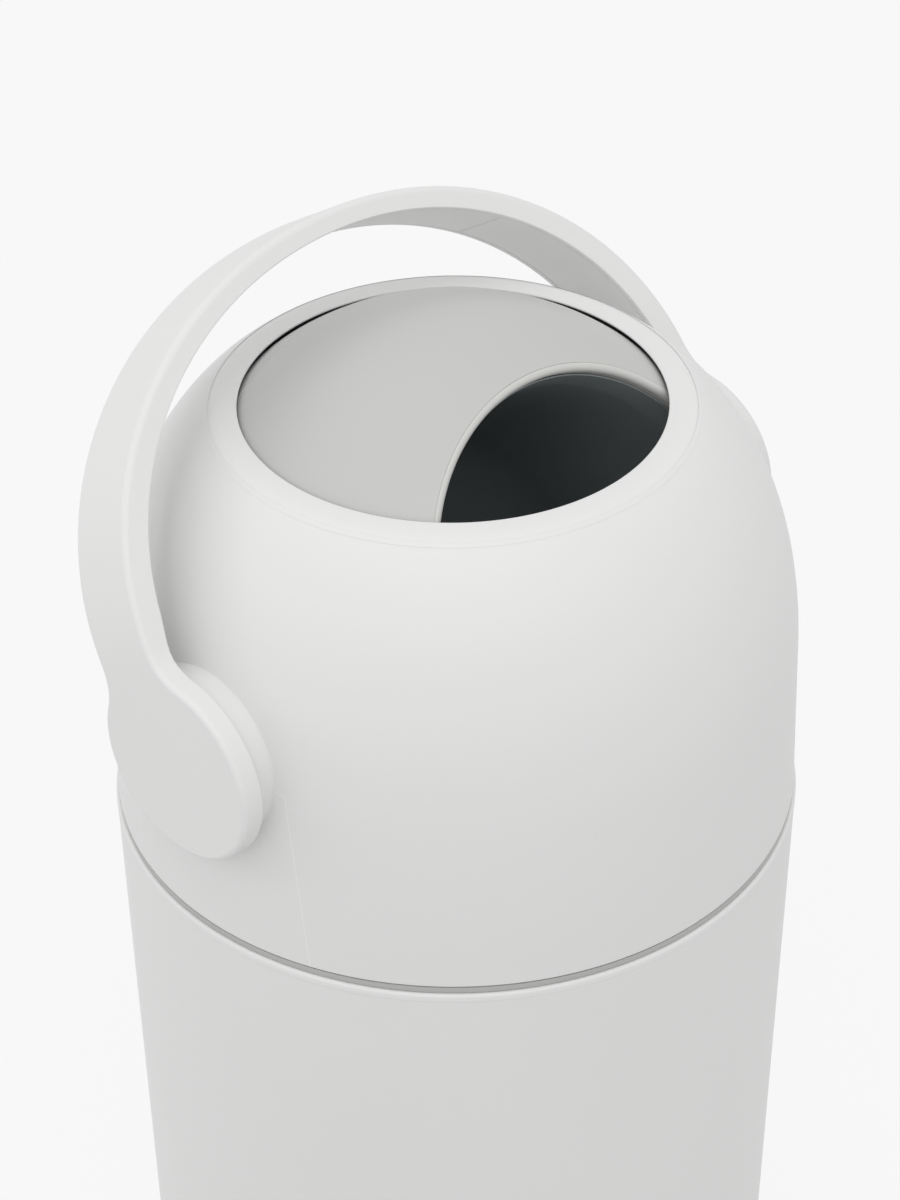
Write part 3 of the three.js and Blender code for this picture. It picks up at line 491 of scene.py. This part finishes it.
PLATE_R = 0.1396
SKIRT_R = 0.1393
SKIRT_INNER_R = 0.1365
GROOVE_R = 0.1377
BAND_R = 0.1422
CONE_R = 0.118
THROAT_R = 0.092
EDGE_R = 0.084
lid_base = turned("lid_base_ring", rounded([
    (PLATE_R, 0.341, 0.0004),
    (CONE_R, 0.341, 0.001),
    (THROAT_R, 0.3235, 0.001),
    (EDGE_R, 0.3235, 0.0006),
    (EDGE_R, 0.3209, 0.0006),
    (THROAT_R, 0.3209, 0.001),
    (CONE_R, 0.3384, 0.001),
    (SKIRT_INNER_R, 0.3384, 0.001),
    (SKIRT_INNER_R, 0.3219, 0.0006),
    (SKIRT_R, 0.3219, 0.0008),
    (SKIRT_R, 0.3289),
    (GROOVE_R, 0.3289),
    (GROOVE_R, 0.3329),
    (SKIRT_R, 0.3329),
    (SKIRT_R, 0.3369),
    (BAND_R, 0.3369, 0.0003),
    (BAND_R, 0.3395, 0.0003),
    (PLATE_R, 0.3395),
]))
screw_places = [
    (SCREW_CIRCLE_R * math.cos(corner), SCREW_CIRCLE_R * math.sin(corner), 0) for corner in CORNERS]
for place in screw_places:
    hole = turned(
        "hole", [(0, 0.32), (SCREW_BORE_R, 0.32), (SCREW_BORE_R, 0.35), (0, 0.35)], place, steps=24)
    fitted(lid_base, hole, 'DIFFERENCE')
band_plastic = moulded("band_plastic", (0.47, 0.47, 0.462), (0.44, 0.44, 0.432), 0.4, 0.000015)
band_plastic.on(lid_base)
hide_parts("lid_base")
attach(lid_base, "lid")

# Seals. Black rubber rings: a blade above and a blade below that wipe the drum, pushed into the
# lid, and a square ring in the groove of the base's skirt that holds the lid on the body. The upper
# blade's black inner edge sits right under the lip's edge as painted shade for the gap there.

DRUM_R = 0.1275


def above_hub(ball_r, r):
    """How high a ball about the hub stands over it, at a distance from its axis."""
    return math.sqrt(ball_r ** 2 - r ** 2)


seal_rubber = moulded(
    "seal_rubber", (0.011, 0.0115, 0.012), (0.006, 0.0065, 0.007), 0.62, 0.00002)
wipe_r = DRUM_R + 0.0006
blade_r, upper_inner_r, upper_outer_r = 0.0878, 0.0856, 0.0906
# The upper blade's black inner face, right under the lip's edge, is painted shade for the gap
# between the lip and the drum.
upper_seal = turned("upper_wiper", rounded([
    (upper_inner_r, under_lip(upper_inner_r) - 0.0003, 0.0002),
    (upper_outer_r, under_lip(upper_outer_r) - 0.0003, 0.0004),
    (upper_outer_r, under_lip(upper_outer_r) - 0.0025, 0.0004),
    (blade_r, HUB.z + above_hub(wipe_r, blade_r), 0.0003),
    (upper_inner_r, HUB.z + above_hub(wipe_r, upper_inner_r), 0.0002),
]))
lower_inner_r, lower_outer_r = EDGE_R + 0.0003, 0.0913
lower_seal = turned("lower_wiper", rounded([
    (lower_inner_r, 0.3238, 0.0004),
    (lower_outer_r, 0.3238, 0.0004),
    (lower_outer_r, 0.326, 0.0004),
    (blade_r, HUB.z - above_hub(wipe_r, blade_r), 0.0004),
    (lower_inner_r, HUB.z - above_hub(wipe_r, lower_inner_r), 0.0004),
]))
lid_seal = turned("lid_grip_seal", rounded([
    (GROOVE_R + 0.0003, 0.3292, 0.0003),
    (SKIRT_R, 0.3292, 0.0005),
    (SKIRT_R, 0.3326, 0.0005),
    (GROOVE_R + 0.0003, 0.3326, 0.0003),
]))
for seal, node in (
        (upper_seal, "upper_drum_seal"), (lower_seal, "lower_drum_seal"), (lid_seal, "lid_seal")):
    seal_rubber.on(seal)
    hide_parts(node)
    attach(seal, "lid")

# Base screws. Four zinc-plated pan-head screws with a cross recess, driven up through the base
# ring into the dome's posts.

zinc = Finish("zinc_plate", (0.48, 0.49, 0.5), 0.34, metallic=1.0)
brushing = zinc.noise(1400, 2, (1, 1, 0.2))
zinc.feed("Base Color", zinc.between(zinc.noise(300, 2), (0.42, 0.43, 0.44), (0.54, 0.55, 0.57)))
zinc.feed("Roughness", brushing * 0.18 + 0.26)
zinc.bump(brushing, 0.000004)

SCREW_HEAD_Z = 0.3381
SCREW_HEAD_R = 0.004
SCREW_R = 0.0019
first_screw = turned("base_fixing_1", rounded([
    (0, SCREW_HEAD_Z - 0.002),
    (SCREW_HEAD_R - 0.0004, SCREW_HEAD_Z - 0.0019, 0.0006),
    (SCREW_HEAD_R, SCREW_HEAD_Z - 0.001, 0.0004),
    (SCREW_HEAD_R, SCREW_HEAD_Z, 0.0002),
    (SCREW_R, SCREW_HEAD_Z, 0.0002),
    (SCREW_R, SCREW_HEAD_Z + 0.015, 0.0002),
    (0, SCREW_HEAD_Z + 0.016),
], closed=False), screw_places[0], steps=48)
for turn in (20, 110):
    block(
        (*screw_places[0][:2], SCREW_HEAD_Z - 0.002), (0.0038, 0.0008, 0.0024), math.radians(turn))
    fitted(first_screw, settled("recess"), 'DIFFERENCE')
screws = [first_screw] + [
    copied(first_screw, f"base_fixing_{number}", number - 1) for number in (2, 3, 4)]
for number, screw in enumerate(screws, 1):
    zinc.on(screw)
    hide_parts(f"base_screw_{number}")
    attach(screw, "lid")

# Bushes. Two flanged bearing rings that the axles turn in. Slippery natural plastic, moulded and
# pressed into the bosses of the dome.

slide_plastic = moulded("slide_plastic", (0.68, 0.69, 0.66), (0.63, 0.64, 0.61), 0.32, 0.00001)
slide_plastic.on(nodes["bush_right"], nodes["bush_left"])

# Drum shells. A hollow ball in two halves of light grey polypropylene, pushed together at its
# equator over a tongue. The front half has the round hole for the mouth ring.

TILT = math.radians(56)
MOUTH_WAY = Vector((0, -math.sin(TILT), math.cos(TILT)))
DRUM_WALL = 0.0024
DRUM_INNER_R = DRUM_R - DRUM_WALL
TONGUE_R = DRUM_INNER_R - 0.0003
TONGUE_Z = 0.014
HOLE_R = 0.0816
HEX_R = 0.0123


def ball_line(ball_r, low, high, steps):
    """Outline points on a ball between two heights over its middle."""
    low, high = math.asin(low / ball_r), math.asin(high / ball_r)
    angles = [low + (high - low) * i / steps for i in range(steps + 1)]
    return [Vector((ball_r * math.cos(angle), ball_r * math.sin(angle))) for angle in angles]


def drum_piece(name, outline):
    """A piece turned about the mouth's axis, through the middle of the drum."""
    return turned(name, outline, HUB, MOUTH_WAY, (1, 0, 0))


drum_plastic = moulded("drum_plastic", (0.56, 0.56, 0.55), (0.53, 0.53, 0.52), 0.42, 0.000015)
drum_front = drum_piece(
    "drum_mouth_half",
    ball_line(DRUM_R, 0.0004, above_hub(DRUM_R, HOLE_R), 48)
    + ball_line(DRUM_INNER_R, above_hub(DRUM_INNER_R, HOLE_R), 0.0002, 32)
    + [Vector((DRUM_R - 0.0003, 0.0001))])
drum_back = drum_piece(
    "drum_closed_half",
    ball_line(DRUM_R, -DRUM_R, -0.0004, 64)
    + [Vector((DRUM_R - 0.0003, -0.0001))]
    + ball_line(TONGUE_R, -0.0002, TONGUE_Z, 4)
    + ball_line(TONGUE_R - DRUM_WALL, TONGUE_Z, -0.02, 6)
    + ball_line(DRUM_INNER_R, -0.0224, -DRUM_INNER_R, 48))
for half, node in ((drum_front, "drum_front_shell"), (drum_back, "drum_back_shell")):
    for side in (1, -1):
        hex_hole = turned(
            "hex_hole", [(0, 0.11), (HEX_R, 0.11), (HEX_R, 0.14), (0, 0.14)],
            HUB, (side, 0, 0), MOUTH_WAY, steps=6)
        fitted(half, hex_hole, 'DIFFERENCE')
    drum_plastic.on(half)
    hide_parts(node)
    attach(half, "turner")

# Mouth ring. A light bead that rolls from the ball into the mouth and holds the bowl in the drum.
# One moulding, clipped into the front half from inside by the flange under its edge.

MOUTH_R = 0.078
RING_OUTER_R = HOLE_R - 0.0001
RING_FLANGE_R = 0.085
RING_FLANGE_T = 0.0016
ROLL_STEPS = 16
ring_bottom = above_hub(TONGUE_R, RING_FLANGE_R) - RING_FLANGE_T
ring_edge = math.acos(RING_OUTER_R / DRUM_R)
roll_r = (RING_OUTER_R - MOUTH_R) / (1 + math.cos(ring_edge))
roll_z = above_hub(DRUM_R, RING_OUTER_R) - roll_r * math.sin(ring_edge)
roll_line = []
for i in range(ROLL_STEPS + 1):
    turn = ring_edge + (math.pi - ring_edge) * i / ROLL_STEPS
    roll_line.append(
        Vector((MOUTH_R + roll_r + roll_r * math.cos(turn), roll_z + roll_r * math.sin(turn))))
mouth_ring = drum_piece("mouth_bead", roll_line + [
    Vector((MOUTH_R, ring_bottom)),
    Vector((RING_FLANGE_R, ring_bottom)),
    Vector((RING_FLANGE_R, ring_bottom + RING_FLANGE_T)),
    Vector((RING_OUTER_R, above_hub(TONGUE_R, RING_OUTER_R))),
])
ring_plastic = moulded("ring_plastic", (0.63, 0.63, 0.61), (0.60, 0.60, 0.58), 0.38, 0.000012)
ring_plastic.on(mouth_ring)
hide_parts("mouth_ring")
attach(mouth_ring, "turner")

# Bowl. The deep dark grey cup that the nappy is dropped into, with a round corner at its floor.
# One satin moulding, hung by its flange between the mouth ring and the front half.

BOWL_R = 0.0777
BOWL_WALL = 0.002
BOWL_FLOOR_R = 0.0727
BOWL_FLANGE_R = 0.0813
BOWL_CORNER = 0.0515
bowl_plastic = moulded(
    "bowl_plastic", (0.260, 0.288, 0.293), (0.232, 0.260, 0.265), 0.46, 0.000012)
bowl_top = above_hub(DRUM_R, BOWL_FLANGE_R) - 0.0016
bowl_rim = bowl_top - 0.0024
bowl_floor = bowl_top - 0.157
flange_top = ring_bottom - 0.0003
bowl = drum_piece("nappy_bowl", rounded([
    (0, bowl_floor),
    (BOWL_FLOOR_R, bowl_floor, BOWL_CORNER),
    (BOWL_R, flange_top - BOWL_WALL, 0.0004),
    (BOWL_FLANGE_R, flange_top - BOWL_WALL, 0.0003),
    (BOWL_FLANGE_R, flange_top, 0.0003),
    (BOWL_R, flange_top),
    (BOWL_R, bowl_rim, 0.0002),
    (BOWL_R - 0.0006, bowl_rim, 0.0002),
    (0.0755, bowl_top - 0.014, 0.02),
    (BOWL_FLOOR_R - BOWL_WALL, bowl_floor + BOWL_WALL, BOWL_CORNER - BOWL_WALL),
    (0, bowl_floor + BOWL_WALL),
], closed=False, steps=24))
bowl_plastic.on(bowl)
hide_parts("bowl")
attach(bowl, "turner")

# Handle. A flat channel-shaped bail that bends over the lid and ends in a round hub on each side.
# One white polypropylene moulding, open along its underside, drawn flat here and then bent.

HUB_BACK_X = 0.1449
HUB_DEPTH = 0.0093
HUB_FACE_X = HUB_BACK_X + HUB_DEPTH
HUB_R = 0.0402
ARCH_RISE = 0.1667
ARCH_START = 0.0367
LEG_T = 0.0116
CROWN_T = 0.009
SKIN = 0.0024
HALF_WIDTH = 0.018
NECK_R = 0.022
ARCH_POWER = 2 / 2.05
ARCH_PARTS = 4000
ARCH_STEPS = 120
LEG_STEPS = 40
LEAD_STEPS = 10
GUIDE_STEPS = 300
LEAD = 0.06
NECK_RUN = 0.026
FAN_END = LEAD + 0.05
HUB_ROUNDING = 0.0021
BACK_ROUNDING = 0.0012
CROWN_ROUNDING = 0.0028
UNDERSIDE_ROUNDING = 0.0006
SOFT_START = 0.09
SOFT_RUN = 0.12
LEVEL = 0.00001

arch_height = ARCH_RISE - ARCH_START
leg_line = [Vector((HUB_FACE_X, ARCH_START * i / LEG_STEPS)) for i in range(LEG_STEPS)]
arch_line = [
    Vector((
        math.copysign(abs(math.cos(angle)) ** ARCH_POWER, math.cos(angle)) * HUB_FACE_X,
        ARCH_START + math.sin(angle) ** ARCH_POWER * arch_height))
    for angle in [math.pi * i / ARCH_PARTS for i in range(ARCH_PARTS + 1)]]
run = [ARCH_START]
for last, point in zip(arch_line, arch_line[1:]):
    run.append(run[-1] + (point - last).length)
HANDLE_LENGTH = run[-1] + ARCH_START


def run_at(angle):
    """Distance along the flat handle of an angle on the arch, from the end of the right lead."""
    return LEAD + run[round(angle / math.pi * ARCH_PARTS)]


def thickness(angle):
    """Thickness of the arch square to its outer line, at an angle."""
    c, s = abs(math.cos(angle)), math.sin(angle)
    slope = Vector((c ** (2 - ARCH_POWER) / HUB_FACE_X, s ** (2 - ARCH_POWER) / arch_height))
    return (LEG_T * c * c / HUB_FACE_X + CROWN_T * s * s / arch_height) / slope.length


def eased(share):
    """A share from 0 to 1 that starts and ends gently."""
    return share * share * (3 - 2 * share)


FAR = 2 * LEAD + HANDLE_LENGTH
stations = []
for i in range(ARCH_STEPS + 1):
    place, depth = run_at(math.pi * i / ARCH_STEPS), thickness(math.pi * i / ARCH_STEPS)
    from_hub = min(place, FAR - place) - LEAD - ARCH_START
    share = min(from_hub / NECK_RUN, 1)
    stations.append((place, HUB_DEPTH + eased(share) * (depth - HUB_DEPTH)))


def bend_guide():
    """The arch's outer line as a curve, with a straight lead under each hub."""
    line = [Vector((HUB_FACE_X, -LEAD + LEAD * i / LEAD_STEPS)) for i in range(LEAD_STEPS)]
    line += leg_line
    mark = 0
    for i in range(GUIDE_STEPS + 1):
        goal = ARCH_START + (run[-1] - ARCH_START) * i / GUIDE_STEPS
        while run[mark] < goal and mark < ARCH_PARTS:
            mark += 1
        line.append(arch_line[mark])
    line += [Vector((-point.x, point.y)) for point in reversed(leg_line)]
    line += [Vector((-HUB_FACE_X, -LEAD * i / LEAD_STEPS)) for i in range(1, LEAD_STEPS + 1)]
    curve = bpy.data.curves.new("bend", 'CURVE')
    curve.dimensions = '3D'
    curve.twist_mode = 'Z_UP'
    spline = curve.splines.new('POLY')
    spline.points.add(len(line) - 1)
    for point, place in zip(spline.points, line):
        point.co = (place.x, place.y, 0, 1)
    guide = bpy.data.objects.new("bend", curve)
    bpy.context.collection.objects.link(guide)
    return guide


guide = bend_guide()


def cut_across(piece, low=0.0, high=FAR):
    """Cuts the flat piece across at each station between two places, to bend in short steps."""
    picked(piece)
    bpy.ops.object.mode_set(mode='EDIT')
    for place in [place for place, _ in stations if low < place < high]:
        bpy.ops.mesh.select_all(action='SELECT')
        bpy.ops.mesh.bisect(plane_co=(place, 0, 0), plane_no=(1, 0, 0))
    bpy.ops.object.mode_set(mode='OBJECT')
    return piece


def bent(piece):
    """Moves the underside to the handle's thickness at each station and bends the piece."""
    picked(piece)
    bpy.ops.object.mode_set(mode='EDIT')
    marks = [place for place, _ in stations]
    limits = [-1] + [(a + b) / 2 for a, b in zip(marks, marks[1:])] + [2]
    for (low, high), (_, depth) in zip(zip(limits, limits[1:]), stations):
        if abs(depth - HUB_DEPTH) > LEVEL:
            shape = bmesh.from_edit_mesh(piece.data)
            for corner in shape.verts:
                corner.select = low <= corner.co.x < high and corner.co.y > HUB_DEPTH * 0.6
            shape.select_flush_mode()
            bmesh.update_edit_mesh(piece.data)
            if any(corner.select for corner in shape.verts):
                bpy.ops.transform.translate(value=(0, depth - HUB_DEPTH, 0))
    bpy.ops.object.mode_set(mode='OBJECT')
    bend = piece.modifiers.new("bend", 'CURVE')
    bend.object = guide
    bend.deform_axis = 'POS_X'
    bpy.ops.object.modifier_apply(modifier=bend.name)
    return piece


def tilted(piece):
    """Turns a piece of the handle from its own frame to its place over the lid."""
    picked(piece)
    piece.rotation_euler.x = TILT
    piece.location = HUB
    bpy.ops.object.transform_apply(location=True, rotation=True, scale=True)
    bpy.ops.object.shade_smooth_by_angle(angle=SHARP)
    shading = piece.modifiers.new("shading", 'WEIGHTED_NORMAL')
    shading.keep_sharp = True
    bpy.ops.object.modifier_apply(modifier=shading.name)
    return piece


def handle_outline(hub_r):
    """The flat handle seen from outside: a round hub at each end that runs into the band."""
    offset = HALF_WIDTH + NECK_R
    neck = math.sqrt((hub_r + NECK_R) ** 2 - offset ** 2)
    meet = math.atan2(offset, neck)
    bends = [(math.pi / 2 - meet) * i / 12 for i in range(13)]
    fillet = [
        Vector((neck - NECK_R * math.sin(bend), offset - NECK_R * math.cos(bend)))
        for bend in bends]
    turns = [meet + (math.pi - meet) * i / 50 for i in range(1, 50)]
    disc = [Vector((hub_r * math.cos(turn), hub_r * math.sin(turn))) for turn in turns]
    upper = fillet + disc + [Vector((-hub_r, 0))]
    lower = [Vector((point.x, -point.y)) for point in upper[-2::-1]]
    near_end = [Vector((LEAD + point.x, point.y)) for point in upper + lower]
    far_end = [Vector((FAR - point.x, -point.y)) for point in near_end]
    return near_end + far_end


def drawn_loop(points, depth):
    """Extrudes a corner along a closed loop of points at a depth under the outer face."""
    line = [Vector((point.x, depth, point.y)) for point in points]
    bpy.ops.mesh.select_all(action='DESELECT')
    bpy.ops.mesh.primitive_plane_add(size=0.001, location=line[0])
    bpy.ops.mesh.merge(type='CENTER')
    for last, point in zip(line, line[1:] + line[:1]):
        bpy.ops.mesh.extrude_region_move(TRANSFORM_OT_translate={"value": point - last})


def edge_rounding(middle):
    """Rounding of the rim at a place: even round the hubs, soft over the front of the crown."""
    if middle.y > 0.001:
        return UNDERSIDE_ROUNDING
    from_hub = min(middle.x, FAR - middle.x) - LEAD
    share = eased(min(max((from_hub - SOFT_START) / SOFT_RUN, 0), 1))
    far_rounding = CROWN_ROUNDING if middle.z > 0 else BACK_ROUNDING
    return HUB_ROUNDING + share * (far_rounding - HUB_ROUNDING)


bpy.ops.object.select_all(action='DESELECT')
bpy.ops.mesh.primitive_plane_add(size=0.001, location=(0, 0, 0))
bpy.ops.object.mode_set(mode='EDIT')
bpy.ops.mesh.delete(type='VERT')
for hub_r, depth in ((HUB_R - 0.0003, 0), (HUB_R, HUB_DEPTH)):
    drawn_loop(handle_outline(hub_r), depth)
    bpy.ops.mesh.select_all(action='SELECT')
    bpy.ops.mesh.remove_doubles(threshold=MERGE)
bpy.ops.mesh.select_all(action='SELECT')
bpy.ops.mesh.bridge_edge_loops()
bpy.ops.mesh.select_all(action='SELECT')
bpy.ops.mesh.fill_holes(sides=0)
handle = cut_across(settled("bail_handle"), FAN_END, FAR - FAN_END)
weights = handle.data.attributes.new("bevel_weight_edge", 'FLOAT', 'EDGE')
for edge, weight in zip(handle.data.edges, weights.data):
    ends = [handle.data.vertices[corner].co for corner in edge.vertices]
    along_rim = abs(ends[0].y - ends[1].y) < LEVEL
    across_band = abs(ends[0].x - ends[1].x) < LEVEL and abs(ends[0].z - ends[1].z) > 0.01
    if along_rim and not across_band:
        weight.value = edge_rounding((ends[0] + ends[1]) / 2) / CROWN_ROUNDING
edges = handle.modifiers.new("edges", 'BEVEL')
edges.limit_method = 'WEIGHT'
edges.width = CROWN_ROUNDING
edges.segments = 6
edges.use_clamp_overlap = False
bpy.ops.object.modifier_apply(modifier=edges.name)
cut_across(handle, 0, FAN_END)
cut_across(handle, FAR - FAN_END, FAR)

CHANNEL_INSET = 0.003
channel_start = LEAD + HUB_R + CHANNEL_INSET
channel_end = FAR - channel_start
block(
    ((channel_start + channel_end) / 2, SKIN + 0.005, 0),
    (channel_end - channel_start, 0.01, 2 * (HALF_WIDTH - SKIN)))
fitted(handle, cut_across(settled("channel")), 'DIFFERENCE')
bent(handle)
PLATE_SEAT_R = 0.0366
HUB_ROOM_R = 0.0354
for side in (1, -1):
    hub_room = turned("hub_room", [
        (0, 0.1),
        (PLATE_SEAT_R, 0.1),
        (PLATE_SEAT_R, HUB_BACK_X),
        (HUB_ROOM_R, HUB_BACK_X),
        (HUB_ROOM_R, HUB_FACE_X - SKIN),
        (0, HUB_FACE_X - SKIN),
    ], (0, 0, 0), (side, 0, 0), (0, 1, 0), steps=128)
    fitted(handle, hub_room, 'DIFFERENCE')
tilted(handle)
body_plastic.on(handle)
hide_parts("handle_shell")
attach(handle, "turner")

# Handle strips. Three curved strips that close the underside of the channel, snapped in flush with
# its edges. A cross joint shows where two meet, and a hairline gap along both edges.

STRIP_T = 0.0022
JOINT = math.radians(51.7)
END_GAP = 0.0003
HALF_JOINT_GAP = 0.0001


def channel_strip(name, start, end):
    """A flat strip between two places along the channel, bent with it."""
    block(
        ((start + end) / 2, HUB_DEPTH - STRIP_T / 2, 0),
        (end - start, STRIP_T, 2 * (HALF_WIDTH - SKIN - END_GAP)))
    bpy.ops.mesh.bevel(offset=0.0002, segments=2, affect='EDGES')
    return tilted(bent(cut_across(settled(name))))


joint_run = run_at(JOINT)
far_joint_run = run_at(math.pi - JOINT)
for name, node, start, end in (
        ("strip_right", "handle_strip_right",
         channel_start + END_GAP, joint_run - HALF_JOINT_GAP),
        ("strip_centre", "handle_strip_centre",
         joint_run + HALF_JOINT_GAP, far_joint_run - HALF_JOINT_GAP),
        ("strip_left", "handle_strip_left",
         far_joint_run + HALF_JOINT_GAP, channel_end - END_GAP)):
    strip = channel_strip(name, start, end)
    body_plastic.on(strip)
    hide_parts(node)
    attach(strip, "turner")
bpy.data.objects.remove(guide)

# Hub works. Stub axles clamped in the drum, back plates that lock each hub on its axle's hexagon,
# and the screws that hold them. They stay hidden between the hub, the boss and the drum.

slide_plastic.on(nodes["axle_right"], nodes["axle_left"])
inner_plastic.on(nodes["hub_plate_right"], nodes["hub_plate_left"])
zinc.on(nodes["hub_screw_right"], nodes["hub_screw_left"])

# Studio. A plain white floor and surround that the camera sees at the photograph's background
# level, a wide soft lamp high behind the camera, a small one behind the bin on the left, and even
# light all round.

BACKGROUND = 0.938
GLOW_SHARE = 0.85
ROOM_LIGHT = 0.84
LAMP_AIM = Vector((0, 0, 0.4))
bpy.ops.object.select_all(action='DESELECT')
bpy.ops.mesh.primitive_circle_add(vertices=96, radius=30, fill_type='NGON')
floor = bpy.context.object
floor.name = "floor"
paper = bpy.data.materials.new("white_paper")
paper.use_nodes = True
tree = paper.node_tree
tree.nodes.clear()
rays = tree.nodes.new("ShaderNodeLightPath")
seen_ray = rays.outputs["Is Camera Ray"]
for other in ("Is Glossy Ray", "Is Transmission Ray"):
    either = tree.nodes.new("ShaderNodeMath")
    either.operation = 'MAXIMUM'
    tree.links.new(seen_ray, either.inputs[0])
    tree.links.new(rays.outputs[other], either.inputs[1])
    seen_ray = either.outputs[0]
keep_shadow = tree.nodes.new("ShaderNodeMath")
keep_shadow.operation = 'MULTIPLY'
keep_shadow.inputs[1].default_value = GLOW_SHARE
tree.links.new(seen_ray, keep_shadow.inputs[0])
matt = tree.nodes.new("ShaderNodeBsdfDiffuse")
matt.inputs["Color"].default_value = (0.62, 0.62, 0.62, 1)
glow = tree.nodes.new("ShaderNodeEmission")
glow.inputs["Color"].default_value = (1, 1, 1, 1)
mixed = tree.nodes.new("ShaderNodeMixShader")
tree.links.new(keep_shadow.outputs[0], mixed.inputs[0])
tree.links.new(matt.outputs[0], mixed.inputs[1])
tree.links.new(glow.outputs[0], mixed.inputs[2])
sheet = tree.nodes.new("ShaderNodeOutputMaterial")
tree.links.new(mixed.outputs[0], sheet.inputs[0])
floor.data.materials.append(paper)

world = bpy.data.worlds.new("studio")
bpy.context.scene.world = world
world.use_nodes = True
tree = world.node_tree
tree.nodes.clear()
rays = tree.nodes.new("ShaderNodeLightPath")
level = tree.nodes.new("ShaderNodeMapRange")
level.inputs["To Min"].default_value = ROOM_LIGHT
level.inputs["To Max"].default_value = BACKGROUND
tree.links.new(rays.outputs["Is Camera Ray"], level.inputs["Value"])
air = tree.nodes.new("ShaderNodeBackground")
air.inputs["Color"].default_value = (1, 1, 1, 1)
tree.links.new(level.outputs[0], air.inputs["Strength"])
sky = tree.nodes.new("ShaderNodeOutputWorld")
tree.links.new(air.outputs[0], sky.inputs[0])

for name, place, size, energy in (
        ("key_softbox", (-0.93, -0.93, 2.28), 2.2, 13),
        ("left_softbox", (-1.24, 1.83, 1.03), 0.7, 4)):
    bpy.ops.object.light_add(type='AREA', location=place)
    lamp = bpy.context.object
    lamp.name = name
    lamp.rotation_euler = (LAMP_AIM - lamp.location).to_track_quat('-Z', 'Y').to_euler()
    lamp.data.shape = 'SQUARE'
    lamp.data.size = size
    lamp.data.energy = energy

# Camera. It stands high at the front left corner, at the photograph's place and angle, with a long
# lens, and is rolled by half a degree as the photograph is.

bpy.ops.object.camera_add(location=(-0.8306, -0.8207, 1.2750))
camera = bpy.context.object
camera.name = "photo_camera"
ahead = Vector((0.5739, 0.5689, -0.5892)).normalized()
level_right = Vector((0.7040, -0.7102, 0)).normalized()
level_up = level_right.cross(ahead)
roll = -0.00954
right = math.cos(roll) * level_right + math.sin(roll) * level_up
up = math.cos(roll) * level_up - math.sin(roll) * level_right
turned_view = Matrix((right, up, -ahead)).transposed().to_4x4()
camera.matrix_world = Matrix.Translation(camera.location) @ turned_view
camera.data.sensor_fit = 'AUTO'
camera.data.sensor_width = 36
camera.data.lens = 105.9
bpy.context.scene.camera = camera
bpy.context.scene.view_settings.view_transform = 'Standard'
